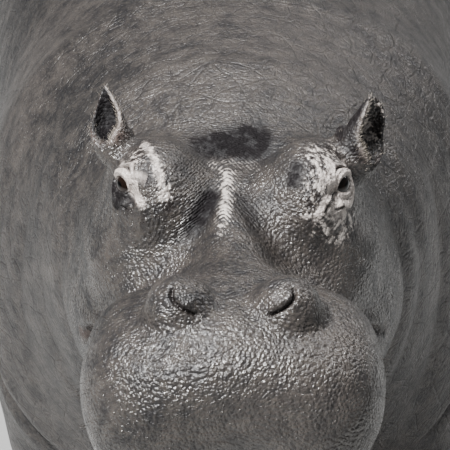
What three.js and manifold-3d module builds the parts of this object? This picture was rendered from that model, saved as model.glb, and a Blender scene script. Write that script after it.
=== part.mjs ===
// Common hippopotamus, an adult at life size, standing still with its head held level and its mouth shut.
// Millimetres, +Z up, nose towards -Y, so the animal's own left is at +X. The floor is Z = 0.
//
// The body is one smooth field: masses that are named for what they are, melted into each other.
// A field is a function of (x, y, z) that is below 0 inside the flesh and above 0 outside it.
// It is turned into a mesh, thinned where the hide is flat, and parted with thin cuts.
import * as THREE from 'three';
import { mergeVertices } from 'three/addons/utils/BufferGeometryUtils.js';
import Module from 'manifold-3d';

const wasm = await Module();
wasm.setup();

// ------------------------------------------------ driving dimensions

const CUT = 0.3; // gap between two pieces that meet
const BODY_FACES = 3600; // faces left on the body before it is parted

const EYE_LEVEL = 1440; // height of both eyes over the floor
const EYE_Y = -1270; // how far ahead of the middle of the back they sit
const EYE_X = 173;
const EYE_R = 25;
const GAZE = [0.72, -0.6, 0.35]; // which way the animal's left eye faces, outwards and forwards
const LID = 9; // how thick the lids lie over the eyeball
const OPENING = 24; // radius of the ball that opens them
const MUZZLE = 530; // from the eyes to the front of the lips
const NOSTRIL = { x: 88, y: -385, z: -14 }; // from the point midway between the eyes
const JAW_DEPTH = 430; // from the eyes down to the underside of the chin

const BACK = 1435; // height of the back
const GIRTH = 522; // half the width of the belly
const FORE_Y = -590; // midway between the forefeet, along the body
const HIND_Y = 875; // and between the hind feet
const RUMP_Y = 1240; // the back of the rump

// Where each foot stands: half the track, the place along the body, and the turn of the toes outwards.
// One foot of each pair is a little ahead of the other.
const STANCE = {
  front_left: { side: 1, x: 288, y: FORE_Y - 60, splay: 8, hind: false },
  front_right: { side: -1, x: 288, y: FORE_Y + 60, splay: 8, hind: false },
  hind_left: { side: 1, x: 290, y: HIND_Y - 65, splay: 12, hind: true },
  hind_right: { side: -1, x: 290, y: HIND_Y + 65, splay: 12, hind: true },
};

// Each ear: which way it points and which way its hollow faces.
const EARS = {
  ear_right: { side: -1, axis: [-0.2, 0.1, 0.97], hollow: [-0.8, -1, 0] },
  ear_left: { side: 1, axis: [0.38, -0.1, 0.9], hollow: [0.8, -0.75, 0] },
};
const EAR = { x: 196, y: 118, z: 20, length: 106 };
// Sections of an ear from its root to its tip: [share of the length, half width, depth, wall].
const EAR_RIBS = [
  [-0.55, 12, 12, 5],
  [-0.25, 25, 24, 11],
  [0, 29, 26, 11],
  [0.2, 33, 25, 10],
  [0.42, 32, 22, 9],
  [0.62, 28, 19, 8],
  [0.8, 21, 14, 7],
  [0.93, 12, 9, 5],
  [1, 4, 4, 2],
];

const HIDE = { color: 0x55504d, roughness: 0.55, metalness: 0 };
const EYEBALL = { color: 0x1c1410, roughness: 0.08, metalness: 0 };
const HORN = { color: 0x39322c, roughness: 0.45, metalness: 0 };

// ------------------------------------------------ fields

// Joins fields with a rounded valley between them; `soft` is the width of the valley.
const melt = (soft, ...fields) => (x, y, z) => {
  let d = fields[0](x, y, z);
  for (let i = 1; i < fields.length; i++) {
    const e = fields[i](x, y, z);
    const h = Math.max(soft - Math.abs(d - e), 0) / soft;
    d = Math.min(d, e) - (h * h * soft) / 4;
  }
  return d;
};

// Saves time: further than `margin` from a ball that holds the field, the ball stands for it.
const within = (cx, cy, cz, radius, field, margin = 160) => (x, y, z) => {
  const d = size(x - cx, y - cy, z - cz) - radius;
  return d > margin ? d : field(x, y, z);
};

// The same mass on both sides.
const paired = (field) => (x, y, z) => field(Math.abs(x), y, z);

const shifted = (dx, dy, dz, field) => (x, y, z) => field(x - dx, y - dy, z - dz);

const size = (x, y, z) => Math.sqrt(x * x + y * y + z * z);

// 1 on the surface of a block with rounded edges and 0 at its middle. A power of 2 makes it an ellipsoid.
const blockiness = (u, v, w, power) => {
  if (power === 2) return size(u, v, w);
  return (Math.abs(u) ** power + Math.abs(v) ** power + Math.abs(w) ** power) ** (1 / power);
};

// An egg-shaped mass. `power` above 2 makes it blockier.
const mass = (cx, cy, cz, rx, ry, rz, power = 2) => (x, y, z) => {
  const [u, v, w] = [x - cx, y - cy, z - cz];
  const q = blockiness(u / rx, v / ry, w / rz, power);
  return q < 1e-6 ? -Math.min(rx, ry, rz) : size(u, v, w) * (1 - 1 / q);
};

// A limb through stations [x, y, z, rx, ry], round in between and at both ends.
const limb = (...stations) => (x, y, z) => {
  let best = Infinity;
  for (let i = 0; i + 1 < stations.length; i++) {
    const [ax, ay, az, arx, ary] = stations[i];
    const [bx, by, bz, brx, bry] = stations[i + 1];
    const [ex, ey, ez] = [bx - ax, by - ay, bz - az];
    const along = ((x - ax) * ex + (y - ay) * ey + (z - az) * ez) / (ex * ex + ey * ey + ez * ez);
    const t = Math.min(Math.max(along, 0), 1);
    const [u, v, w] = [x - ax - t * ex, y - ay - t * ey, z - az - t * ez];
    const rx = arx + t * (brx - arx);
    const ry = ary + t * (bry - ary);
    const q = size(u / rx, v / ry, w / Math.min(rx, ry));
    best = Math.min(best, q < 1e-6 ? -Math.min(rx, ry) : size(u, v, w) * (1 - 1 / q));
  }
  return best;
};

// A barrel along Y through stations [y, half width, top, level of the widest point, bottom].
const barrel = (stations, cap, power) => {
  const places = stations.map(([y]) => y);
  const spline = new THREE.CubicInterpolant(places, stations.flatMap((s) => s.slice(1)), 4);
  const first = places[0];
  const last = places[places.length - 1];
  return (x, y, z) => {
    const at = Math.min(Math.max(y, first), last);
    const [half, top, level, bottom] = spline.evaluate(at);
    const height = z > level ? top - level : level - bottom;
    const q = blockiness(x / half, (y - at) / cap, (z - level) / height, power);
    return q < 1e-6 ? -half : size(x, y - at, z - level) * (1 - 1 / q);
  };
};

// ------------------------------------------------ the head, measured from midway between the eyes

function headField() {
  const chin = -JAW_DEPTH;
  const bridge = limb(
    [0, 70, -108, 100, 88],
    [0, -10, -62, 60, 70],
    [0, -110, -56, 42, 60],
    [0, -230, -66, 44, 58],
    [0, -410, -112, 96, 84],
  );
  const face = limb(
    [0, 90, -170, 185, 150],
    [0, -60, -182, 160, 120],
    [0, -200, -190, 150, 108],
    [0, -360, -170, 195, 118],
  );
  const skull = mass(0, 130, -196, 196, 190, 150, 2.2);
  const orbits = paired(mass(126, 28, -34, 74, 108, 94));
  const lipEdge = paired(
    limb([150, -300, -232, 66, 66], [126, -150, -232, 54, 50], [140, 30, -250, 66, 60]),
  );
  const cheeks = paired(mass(148, 90, -165, 112, 190, 116));
  const jowls = paired(mass(165, 100, -300, 108, 180, 146));
  const muzzle = mass(0, -366, -150, 220, 162, 118, 3.1);
  const lips = paired(mass(134, -358, -196, 104, 170, 116, 2.5));
  const nostrils = paired(mass(NOSTRIL.x, NOSTRIL.y, NOSTRIL.z, 54, 60, 48));
  const earRoots = paired(mass(154, 116, -54, 66, 78, 74));
  const upper = melt(70, melt(80, bridge, face, skull), cheeks, muzzle, lips, lipEdge, orbits);
  const knobs = melt(40, upper, nostrils, earRoots);
  const lids = paired(mass(EYE_X, 0, 0, EYE_R + LID, EYE_R + LID, EYE_R + LID));
  const lidded = melt(26, knobs, lids);
  const jawFront = mass(0, -362, chin + 100, 172, 128, 100, 2.8);
  const jawSides = paired(
    limb([96, -330, chin + 98, 76, 76], [98, -150, chin + 108, 84, 84], [150, 90, chin + 122, 116, 116]),
  );
  const jawFloor = mass(0, -110, chin + 108, 160, 290, 92);
  const jaw = melt(60, jawFront, jawSides, jawFloor, jowls);
  return within(0, -130, -180, 560, melt(30, lidded, jaw));
}

// ------------------------------------------------ legs, feet and toes

const TOES = [-54, -18, 18, 54]; // degrees from straight ahead
const TOE_REACH = 104;
const NAIL_LIFT = 1.5; // nails end this far over the floor
const toeOf = (foot, turn) => {
  const angle = THREE.MathUtils.degToRad(turn + foot.side * foot.splay);
  const x = foot.side * foot.x + TOE_REACH * Math.sin(angle);
  const y = foot.y - 20 - TOE_REACH * Math.cos(angle);
  return { x, y, angle };
};

function footField(foot) {
  const x = foot.side * foot.x;
  const pad = mass(x, foot.y, 62, 118, 122, 84, 2.4);
  const toes = TOES.map((turn) => {
    const toe = toeOf(foot, turn);
    const knuckle = [x + (toe.x - x) * 0.2, foot.y + (toe.y - foot.y) * 0.2, 92, 52, 52];
    return limb(knuckle, [toe.x, toe.y, 46, 43, 43]);
  });
  return within(x, foot.y - 40, 80, 230, melt(22, pad, ...toes));
}

function foreleg(foot) {
  const s = foot.side;
  const wrist = foot.y + 22;
  const shoulder = mass(s * 275, FORE_Y + 40, 890, 190, 280, 400);
  const arm = limb(
    [s * 318, FORE_Y + 30, 760, 165, 212],
    [s * 314, FORE_Y + 70, 540, 144, 176],
    [s * 298, wrist, 300, 116, 124],
    [s * foot.x, foot.y + 6, 120, 120, 122],
  );
  return within(s * 310, FORE_Y + 30, 620, 780, melt(60, shoulder, melt(50, arm, footField(foot))));
}

function hindLeg(foot) {
  const s = foot.side;
  const hock = foot.y + 62;
  const thigh = mass(s * 275, HIND_Y + 10, 870, 235, 325, 445);
  const shank = limb(
    [s * 335, HIND_Y - 65, 640, 184, 238],
    [s * 322, HIND_Y - 45, 500, 150, 178],
    [s * 298, hock, 330, 108, 126],
    [s * foot.x, foot.y + 20, 120, 114, 116],
  );
  return within(s * 320, HIND_Y + 5, 620, 800, melt(70, thigh, melt(50, shank, footField(foot))));
}

// ------------------------------------------------ the whole body

function bodyField() {
  const trunk = barrel(
    [
      [-820, 345, BACK - 30, 1070, 660],
      [-500, 440, BACK + 4, 1000, 515],
      [-100, 492, BACK - 6, 930, 440],
      [RUMP_Y - 1030, GIRTH, BACK - 16, 870, 398],
      [RUMP_Y - 680, GIRTH, BACK + 2, 870, 398],
      [RUMP_Y - 380, 465, BACK - 4, 920, 480],
      [RUMP_Y - 180, 335, BACK - 88, 970, 620],
    ],
    180,
    2.2,
  );
  const neck = limb(
    [0, EYE_Y + 330, EYE_LEVEL - 250, 276, 258],
    [0, -900, EYE_LEVEL - 310, 338, 350],
    [0, -640, 1020, 410, 405],
  );
  const throat = limb(
    [0, EYE_Y + 130, EYE_LEVEL - 335, 175, 140],
    [0, -880, EYE_LEVEL - 490, 250, 225],
    [0, -620, 730, 275, 250],
  );
  const brisket = mass(0, -640, 640, 285, 250, 205);
  const rump = mass(0, RUMP_Y - 295, 1015, 395, 295, 375);
  const tail = limb(
    [0, RUMP_Y - 24, 1150, 60, 74],
    [0, RUMP_Y + 44, 1040, 44, 54],
    [0, RUMP_Y + 70, 900, 25, 42],
    [0, RUMP_Y + 62, 790, 13, 32],
  );
  const head = shifted(0, EYE_Y, EYE_LEVEL, headField());
  const torso = melt(150, trunk, neck, throat, brisket, rump);
  const legs = Object.values(STANCE).map((foot) => (foot.hind ? hindLeg(foot) : foreleg(foot)));
  const standing = melt(110, torso, ...legs);
  return melt(40, melt(80, standing, head), tail);
}

// ------------------------------------------------ ears, each in its own small frame

// Unit vectors across the ear, out of its hollow and along it.
function earFrame(ear) {
  const along = new THREE.Vector3(...ear.axis).normalize();
  const out = new THREE.Vector3(...ear.hollow);
  out.addScaledVector(along, -out.dot(along)).normalize();
  const across = new THREE.Vector3().crossVectors(out, along);
  const origin = new THREE.Vector3(ear.side * EAR.x, EYE_Y + EAR.y, EYE_LEVEL + EAR.z);
  return { across, out, along, origin };
}

// An ear is a leaf rolled into a cup: each rib runs round the back of the ear and returns along its hollow.
function earSolid(ear) {
  const { across, out, along, origin } = earFrame(ear);
  const ROLL = THREE.MathUtils.degToRad(100);
  const turns = Array.from({ length: 7 }, (_, i) => ROLL * (i / 3 - 1));
  const rings = EAR_RIBS.map(([share, half, depth, wall]) => {
    const closes = THREE.MathUtils.smoothstep(share, 0.85, 1);
    const open = THREE.MathUtils.smoothstep(share, -0.05, 0.2) * (1 - closes);
    const hollow = THREE.MathUtils.lerp(-depth / 2, depth - wall, open);
    const back = turns.map((a) => [half * Math.sin(a), -depth * Math.cos(a)]);
    const front = turns.map((a) => [(half - wall) * Math.sin(a), -hollow * Math.cos(a)]).reverse();
    const centre = origin.clone().addScaledVector(along, share * EAR.length);
    const at = (u, v) => centre.clone().addScaledVector(across, u).addScaledVector(out, v);
    return [...back, ...front].map(([u, v]) => at(u, v));
  });
  const count = rings[0].length;
  const middle = (ring) => ring.reduce((sum, p) => sum.add(p), new THREE.Vector3()).divideScalar(count);
  const [root, tip] = [rings[0], rings[rings.length - 1]];
  const points = [...rings.flat(), middle(root), middle(tip)];
  const rootMiddle = points.length - 2;
  const tipMiddle = points.length - 1;
  const tipStart = rootMiddle - count;
  const faces = [];
  for (let i = 0; i < count; i++) {
    const next = (i + 1) % count;
    for (let k = 0; k + 1 < rings.length; k++) {
      const [low, high] = [k * count, (k + 1) * count];
      faces.push(low + i, low + next, high + next, low + i, high + next, high + i);
    }
    faces.push(rootMiddle, next, i, tipMiddle, tipStart + i, tipStart + next);
  }
  return solidOf(new THREE.BufferGeometry().setFromPoints(points).setIndex(faces));
}

// ------------------------------------------------ from a field to a mesh

const steps = (low, high, step) => {
  const count = Math.ceil((high - low) / step) + 1;
  return Array.from({ length: count }, (_, i) => low + i * step);
};

// One point in each cell that the surface crosses, and a square round each grid edge that it crosses.
function netOf(field, xs, ys, zs) {
  const [nx, ny, nz] = [xs.length, ys.length, zs.length];
  const values = sampled(field, xs, ys, zs);
  const corner = (i, j, k) => (k * ny + j) * nx + i;
  const cellPoint = new Int32Array(nx * ny * nz).fill(-1);
  const points = [];
  const faces = [];
  for (let k = 0; k < nz - 1; k++)
    for (let j = 0; j < ny - 1; j++)
      for (let i = 0; i < nx - 1; i++) {
        const crossing = meanCrossing(values, corner, xs, ys, zs, i, j, k);
        if (!crossing) continue;
        cellPoint[corner(i, j, k)] = points.length / 3;
        points.push(...settled(field, crossing, (xs[i + 1] - xs[i]) / 2));
      }
  const square = (a, b, c, d, flip) => {
    const [p, q, r, s] = [cellPoint[a], cellPoint[b], cellPoint[c], cellPoint[d]];
    if (flip) faces.push(p, r, q, p, s, r);
    else faces.push(p, q, r, p, r, s);
  };
  for (let k = 1; k < nz - 1; k++)
    for (let j = 1; j < ny - 1; j++)
      for (let i = 1; i < nx - 1; i++) {
        const here = values[corner(i, j, k)] < 0;
        if (here !== values[corner(i + 1, j, k)] < 0)
          square(corner(i, j - 1, k - 1), corner(i, j, k - 1), corner(i, j, k), corner(i, j - 1, k), !here);
        if (here !== values[corner(i, j + 1, k)] < 0)
          square(corner(i - 1, j, k - 1), corner(i - 1, j, k), corner(i, j, k), corner(i, j, k - 1), !here);
        if (here !== values[corner(i, j, k + 1)] < 0)
          square(corner(i - 1, j - 1, k), corner(i, j - 1, k), corner(i, j, k), corner(i - 1, j, k), !here);
      }
  return { points, faces };
}

// The field at every grid corner. Blocks far from the surface take one value.
function sampled(field, xs, ys, zs) {
  const BLOCK = 6;
  const [nx, ny, nz] = [xs.length, ys.length, zs.length];
  const values = new Float32Array(nx * ny * nz);
  const ends = (list, start) => [list[start], list[Math.min(start + BLOCK, list.length) - 1]];
  for (let k0 = 0; k0 < nz; k0 += BLOCK)
    for (let j0 = 0; j0 < ny; j0 += BLOCK)
      for (let i0 = 0; i0 < nx; i0 += BLOCK) {
        const [x0, x1] = ends(xs, i0);
        const [y0, y1] = ends(ys, j0);
        const [z0, z1] = ends(zs, k0);
        const reach = size(x1 - x0, y1 - y0, z1 - z0) / 2;
        const middle = field((x0 + x1) / 2, (y0 + y1) / 2, (z0 + z1) / 2);
        const far = Math.abs(middle) > 3 * reach;
        for (let k = k0; k < Math.min(k0 + BLOCK, nz); k++)
          for (let j = j0; j < Math.min(j0 + BLOCK, ny); j++)
            for (let i = i0; i < Math.min(i0 + BLOCK, nx); i++)
              values[(k * ny + j) * nx + i] = far ? middle : field(xs[i], ys[j], zs[k]);
      }
  return values;
}

const CELL_EDGES = [];
for (let a = 0; a < 8; a++) for (const bit of [1, 2, 4]) if (!(a & bit)) CELL_EDGES.push([a, a | bit]);

// The mean of the places where the surface crosses a cell's edges, or null.
function meanCrossing(values, corner, xs, ys, zs, i, j, k) {
  const at = (c) => values[corner(i + (c & 1), j + ((c >> 1) & 1), k + ((c >> 2) & 1))];
  let inside = 0;
  for (let c = 0; c < 8; c++) inside += at(c) < 0;
  if (inside === 0 || inside === 8) return null;
  const sum = [0, 0, 0];
  let count = 0;
  for (const [a, b] of CELL_EDGES) {
    const [va, vb] = [at(a), at(b)];
    if (va < 0 === vb < 0) continue;
    const t = va / (va - vb);
    const place = (list, index, bit) => {
      const from = list[index + ((a >> bit) & 1)];
      return from + t * (list[index + ((b >> bit) & 1)] - from);
    };
    sum[0] += place(xs, i, 0);
    sum[1] += place(ys, j, 1);
    sum[2] += place(zs, k, 2);
    count++;
  }
  return sum.map((v) => v / count);
}

// Moves a point down the slope onto the surface itself, by no more than `longest`.
function settled(field, [x, y, z], longest) {
  const TINY = 0.5;
  for (let round = 0; round < 3; round++) {
    const d = field(x, y, z);
    const gx = (field(x + TINY, y, z) - field(x - TINY, y, z)) / (2 * TINY);
    const gy = (field(x, y + TINY, z) - field(x, y - TINY, z)) / (2 * TINY);
    const gz = (field(x, y, z + TINY) - field(x, y, z - TINY)) / (2 * TINY);
    const slope = Math.max(gx * gx + gy * gy + gz * gz, 0.05);
    const move = Math.min(Math.max(d / slope, -longest / 3), longest / 3);
    x -= move * gx;
    y -= move * gy;
    z -= move * gz;
  }
  return [x, y, z];
}

// ------------------------------------------------ thinning, by the quadric error of each edge

// Folds the cheapest edges away until `wanted` faces are left. `care(x, y, z)` says how much a place matters.
function thinned({ points, faces }, wanted, care) {
  const count = points.length / 3;
  const at = Float64Array.from(points);
  const quadrics = new Float64Array(count * 10);
  const around = Array.from({ length: count }, () => new Set());
  const corners = [];
  for (let f = 0; f < faces.length; f += 3) {
    const tri = [faces[f], faces[f + 1], faces[f + 2]];
    for (const v of tri) around[v].add(corners.length);
    corners.push(tri);
  }
  const between = (p, q) => [0, 1, 2].map((i) => at[q * 3 + i] - at[p * 3 + i]);
  const normalOf = (p, q, r) => {
    const [ux, uy, uz] = between(p, q);
    const [vx, vy, vz] = between(p, r);
    return [uy * vz - uz * vy, uz * vx - ux * vz, ux * vy - uy * vx];
  };
  for (const [p, q, r] of corners) {
    const n = normalOf(p, q, r);
    const area = size(...n) || 1e-9;
    const [a, b, c] = n.map((v) => v / area);
    const d = -(a * at[p * 3] + b * at[p * 3 + 1] + c * at[p * 3 + 2]);
    const weight = area * care(at[p * 3], at[p * 3 + 1], at[p * 3 + 2]);
    const terms = [a * a, a * b, a * c, a * d, b * b, b * c, b * d, c * c, c * d, d * d];
    for (const v of [p, q, r]) terms.forEach((term, i) => (quadrics[v * 10 + i] += weight * term));
  }
  const errorAt = (u, v, x, y, z) => {
    const q = (i) => quadrics[u * 10 + i] + quadrics[v * 10 + i];
    return (
      q(0) * x * x + 2 * q(1) * x * y + 2 * q(2) * x * z + 2 * q(3) * x +
      q(4) * y * y + 2 * q(5) * y * z + 2 * q(6) * y +
      q(7) * z * z + 2 * q(8) * z + q(9)
    );
  };
  const bestPlace = (u, v) => {
    let best = null;
    for (const t of [0.5, 0, 1, 0.25, 0.75]) {
      const place = [0, 1, 2].map((i) => at[u * 3 + i] * (1 - t) + at[v * 3 + i] * t);
      const cost = errorAt(u, v, ...place);
      if (!best || cost < best.cost) best = { cost, place };
    }
    best.cost += size(...between(u, v)) ** 4 * 1e-4;
    return best;
  };
  const neighbours = (v) => {
    const found = new Set();
    for (const f of around[v]) for (const w of corners[f]) if (w !== v) found.add(w);
    return found;
  };
  const stamp = new Int32Array(count);
  const heap = [];
  const push = (item) => {
    let i = heap.push(item) - 1;
    while (i > 0) {
      const up = (i - 1) >> 1;
      if (heap[up].cost <= heap[i].cost) break;
      [heap[up], heap[i]] = [heap[i], heap[up]];
      i = up;
    }
  };
  const pop = () => {
    const top = heap[0];
    const last = heap.pop();
    if (!heap.length) return top;
    heap[0] = last;
    for (let i = 0; ; ) {
      let low = 2 * i + 1;
      if (low >= heap.length) break;
      if (low + 1 < heap.length && heap[low + 1].cost < heap[low].cost) low++;
      if (heap[i].cost <= heap[low].cost) break;
      [heap[low], heap[i]] = [heap[i], heap[low]];
      i = low;
    }
    return top;
  };
  const offer = (u, v) => push({ ...bestPlace(u, v), u, v, su: stamp[u], sv: stamp[v] });
  for (let v = 0; v < count; v++) for (const w of neighbours(v)) if (v < w) offer(v, w);

  // A face that keeps one of the two corners must not turn over.
  const LEAST_COSINE = 0.35;
  const turnsOver = (from, other, place) => {
    for (const f of around[from]) {
      const tri = corners[f];
      if (tri.includes(other)) continue;
      const before = normalOf(...tri);
      const held = [at[from * 3], at[from * 3 + 1], at[from * 3 + 2]];
      at.set(place, from * 3);
      const after = normalOf(...tri);
      at.set(held, from * 3);
      const agreement = before[0] * after[0] + before[1] * after[1] + before[2] * after[2];
      if (agreement < LEAST_COSINE * size(...before) * size(...after)) return true;
    }
    return false;
  };
  let left = corners.length;
  while (left > wanted && heap.length) {
    const { u, v, su, sv, place } = pop();
    if (stamp[u] !== su || stamp[v] !== sv) continue;
    const byU = neighbours(u);
    const shared = [...neighbours(v)].filter((w) => byU.has(w));
    if (shared.length !== 2 || turnsOver(u, v, place) || turnsOver(v, u, place)) continue;
    at.set(place, u * 3);
    for (let i = 0; i < 10; i++) quadrics[u * 10 + i] += quadrics[v * 10 + i];
    for (const f of [...around[v]]) {
      if (corners[f].includes(u)) {
        for (const w of corners[f]) around[w].delete(f);
        corners[f] = null;
        left--;
      } else {
        corners[f] = corners[f].map((w) => (w === v ? u : w));
        around[u].add(f);
      }
    }
    around[v].clear();
    stamp[v] = -1;
    stamp[u]++;
    for (const w of neighbours(u)) offer(u, w);
  }
  const geometry = new THREE.BufferGeometry();
  geometry.setAttribute('position', new THREE.BufferAttribute(Float32Array.from(at), 3));
  return geometry.setIndex(corners.filter(Boolean).flat());
}

// ------------------------------------------------ solids

function solidOf(geometry) {
  const bare = geometry.clone();
  bare.deleteAttribute('normal');
  bare.deleteAttribute('uv');
  const merged = mergeVertices(bare.index ? bare.toNonIndexed() : bare, 1e-4);
  const vertProperties = merged.attributes.position.array;
  const triVerts = new Uint32Array(merged.index.array);
  return new wasm.Manifold(new wasm.Mesh({ numProp: 3, vertProperties, triVerts }));
}

function geometryOf(solid) {
  const { numProp, vertProperties, triVerts } = solid.getMesh();
  const geometry = new THREE.BufferGeometry();
  geometry.setAttribute('position', new THREE.BufferAttribute(vertProperties, numProp));
  geometry.setIndex(new THREE.BufferAttribute(triVerts, 1));
  geometry.computeVertexNormals();
  return geometry;
}

// A block of space, as a pair: one to keep what lies in it, and one a gap larger to take it from the rest.
function region(sides, centre, turn = [0, 0, 0]) {
  const euler = new THREE.Euler(...turn.map(THREE.MathUtils.degToRad));
  const turned = new THREE.Matrix4().makeRotationFromEuler(euler);
  const block = (extra) => {
    const box = new THREE.BoxGeometry(...sides.map((side) => side + 2 * extra));
    return solidOf(box.applyMatrix4(turned).translate(...centre));
  };
  return { keep: block(0), take: block(CUT) };
}

const part = (solid, { keep, take }) => [solid.intersect(keep), solid.subtract(take)];

// ------------------------------------------------ meshes

const hippopotamus = new THREE.Group();
const add = (name, solid, look) => {
  const mesh = new THREE.Mesh(geometryOf(solid), new THREE.MeshStandardMaterial(look));
  mesh.name = name;
  hippopotamus.add(mesh);
};

// The head gets a fine grid and the trunk a coarse one; the floor trims the soles flat.
const headEnd = EYE_Y + 330;
const bodyNet = netOf(
  bodyField(),
  steps(-700, 700, 14),
  [...steps(EYE_Y - MUZZLE - 30, headEnd, 13), ...steps(headEnd + 20, RUMP_Y + 200, 20)],
  steps(-60, 1620, 14),
);
const nearHead = (x, y, z) => (y < headEnd ? 6 : 1) * (y < headEnd && z > EYE_LEVEL - 130 ? 2 : 1);
const overFloor = region([4000, 5000, 3000], [0, 0, 1500]);
let body = solidOf(thinned(bodyNet, BODY_FACES, nearHead)).intersect(overFloor.keep);

for (const ear of Object.values(EARS)) body = body.add(earSolid(ear));

// Ears: a block tipped with the ear, from just over its root.
for (const [name, ear] of Object.entries(EARS)) {
  const { across, out, along, origin } = earFrame(ear);
  const turn = new THREE.Euler().setFromRotationMatrix(new THREE.Matrix4().makeBasis(across, out, along));
  const ROOT = 18;
  const SIZE = [96, 84, 150];
  const centre = origin.clone().addScaledVector(along, ROOT + SIZE[2] / 2);
  const block = region(SIZE, centre.toArray(), [turn.x, turn.y, turn.z].map(THREE.MathUtils.radToDeg));
  const [piece, rest] = part(body, block);
  add(name, piece, HIDE);
  body = rest;
}

// Eyes: balls in sockets, seen through a round opening between the lids.
for (const [name, side] of [['eye_left', 1], ['eye_right', -1]]) {
  const ball = (r, reach) => {
    const [x, y, z] = GAZE.map((part) => part * reach);
    const place = [side * (EYE_X + x), EYE_Y + y, EYE_LEVEL + z];
    return solidOf(new THREE.SphereGeometry(r, 12, 8).rotateX(Math.PI / 2).translate(...place));
  };
  add(name, ball(EYE_R, 0), EYEBALL);
  body = body.subtract(ball(EYE_R + 1, 0)).subtract(ball(OPENING, EYE_R + LID));
}

// A leg ends at a plane that rises outwards from between the legs.
function legRegion(foot) {
  const SLANT = 50;
  const [WIDE, TALL] = [900, 760];
  const CROTCH = { x: 110, z: 255 };
  const [front, back] = foot.hind ? [HIND_Y - 310, HIND_Y + 500] : [FORE_Y - 240, FORE_Y + 290];
  const sine = Math.sin(THREE.MathUtils.degToRad(SLANT));
  const cosine = Math.cos(THREE.MathUtils.degToRad(SLANT));
  const x = CROTCH.x + (WIDE * cosine + TALL * sine) / 2;
  const z = CROTCH.z + (WIDE * sine - TALL * cosine) / 2;
  const centre = [foot.side * x, (front + back) / 2, z];
  return region([WIDE, back - front, TALL], centre, [0, -foot.side * SLANT, 0]);
}

// A nail is a blunt egg on the end of its toe, flat where it meets the floor.
function nailOf(toe, extra) {
  const egg = new THREE.SphereGeometry(1, 7, 5)
    .scale(27 + extra, 16 + extra, 36 + extra)
    .rotateX(THREE.MathUtils.degToRad(-22))
    .rotateZ(toe.angle)
    .translate(toe.x + 36 * Math.sin(toe.angle), toe.y - 36 * Math.cos(toe.angle), 38);
  return solidOf(egg).intersect(region([400, 400, 200], [toe.x, toe.y, 100 + NAIL_LIFT - extra]).keep);
}

// Nails, feet and legs, from the floor up.
for (const [name, foot] of Object.entries(STANCE)) {
  for (const [i, turn] of TOES.entries()) {
    const toe = toeOf(foot, turn);
    add(`toenail_${name}_${i + 1}`, nailOf(toe, 0), HORN);
    body = body.subtract(nailOf(toe, CUT));
  }
  const ANKLE = 235;
  const [sole, above] = part(body, region([520, 620, ANKLE], [foot.side * (foot.x + 60), foot.y, ANKLE / 2]));
  add(`foot_${name}`, sole, HIDE);
  const [leg, rest] = part(above, legRegion(foot));
  add(`leg_${name}`, leg, HIDE);
  body = rest;
}

// Tail, head with its lower jaw, neck and trunk. The head and the neck end at planes that lean back.
const [tail, tailless] = part(body, region([200, 300, 420], [0, RUMP_Y + 175, 960]));
add('tail', tail, HIDE);
const afore = (length, y, lean) => region([1800, length, 2400], [0, y - length / 2, 1000], [-lean, 0, 0]);
const [neckAndHead, trunk] = part(tailless, afore(2000, FORE_Y - 110, 10));
add('trunk', trunk, HIDE);
const [head, neck] = part(neckAndHead, afore(1200, EYE_Y + 150, 8));
add('neck', neck, HIDE);

// The line of the lips, seen from the side: it dips under each whisker pad and drops again at the cheek.
const LIP_LINE = [[-900, -268], [-500, -268], [-380, -300], [-210, -240], [-60, -262], [40, -330]];
const BELOW = [[150, -1200], [-900, -1200]];
const mouth = new THREE.Shape([...LIP_LINE, ...BELOW].map(([y, z]) => new THREE.Vector2(y, z)));
const sideways = new THREE.Matrix4().set(0, 0, 1, 0, 1, 0, 0, 0, 0, 1, 0, 0, 0, 0, 0, 1);
const underLips = (extra) => {
  const block = new THREE.ExtrudeGeometry(mouth, { depth: 1200, bevelEnabled: false });
  return solidOf(block.applyMatrix4(sideways).translate(-600, EYE_Y + extra, EYE_LEVEL + extra));
};
add('lower_jaw', head.intersect(underLips(0)), HIDE);
add('head', head.subtract(underLips(CUT)), HIDE);

// The origin is on the floor under the middle of the animal.
const box = new THREE.Box3().setFromObject(hippopotamus, true);
hippopotamus.position.set(-(box.min.x + box.max.x) / 2, -(box.min.y + box.max.y) / 2, 0);

export default hippopotamus;
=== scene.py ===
# The hippopotamus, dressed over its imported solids: its hide, eyes, nails and the few hairs it has.
# Metres, +Z up, nose towards -Y, the animal's own left at +X. Every piece is made in its final place.
import math

import bmesh
import bpy
import numpy as np
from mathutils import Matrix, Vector
from mathutils.bvhtree import BVHTree


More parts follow.
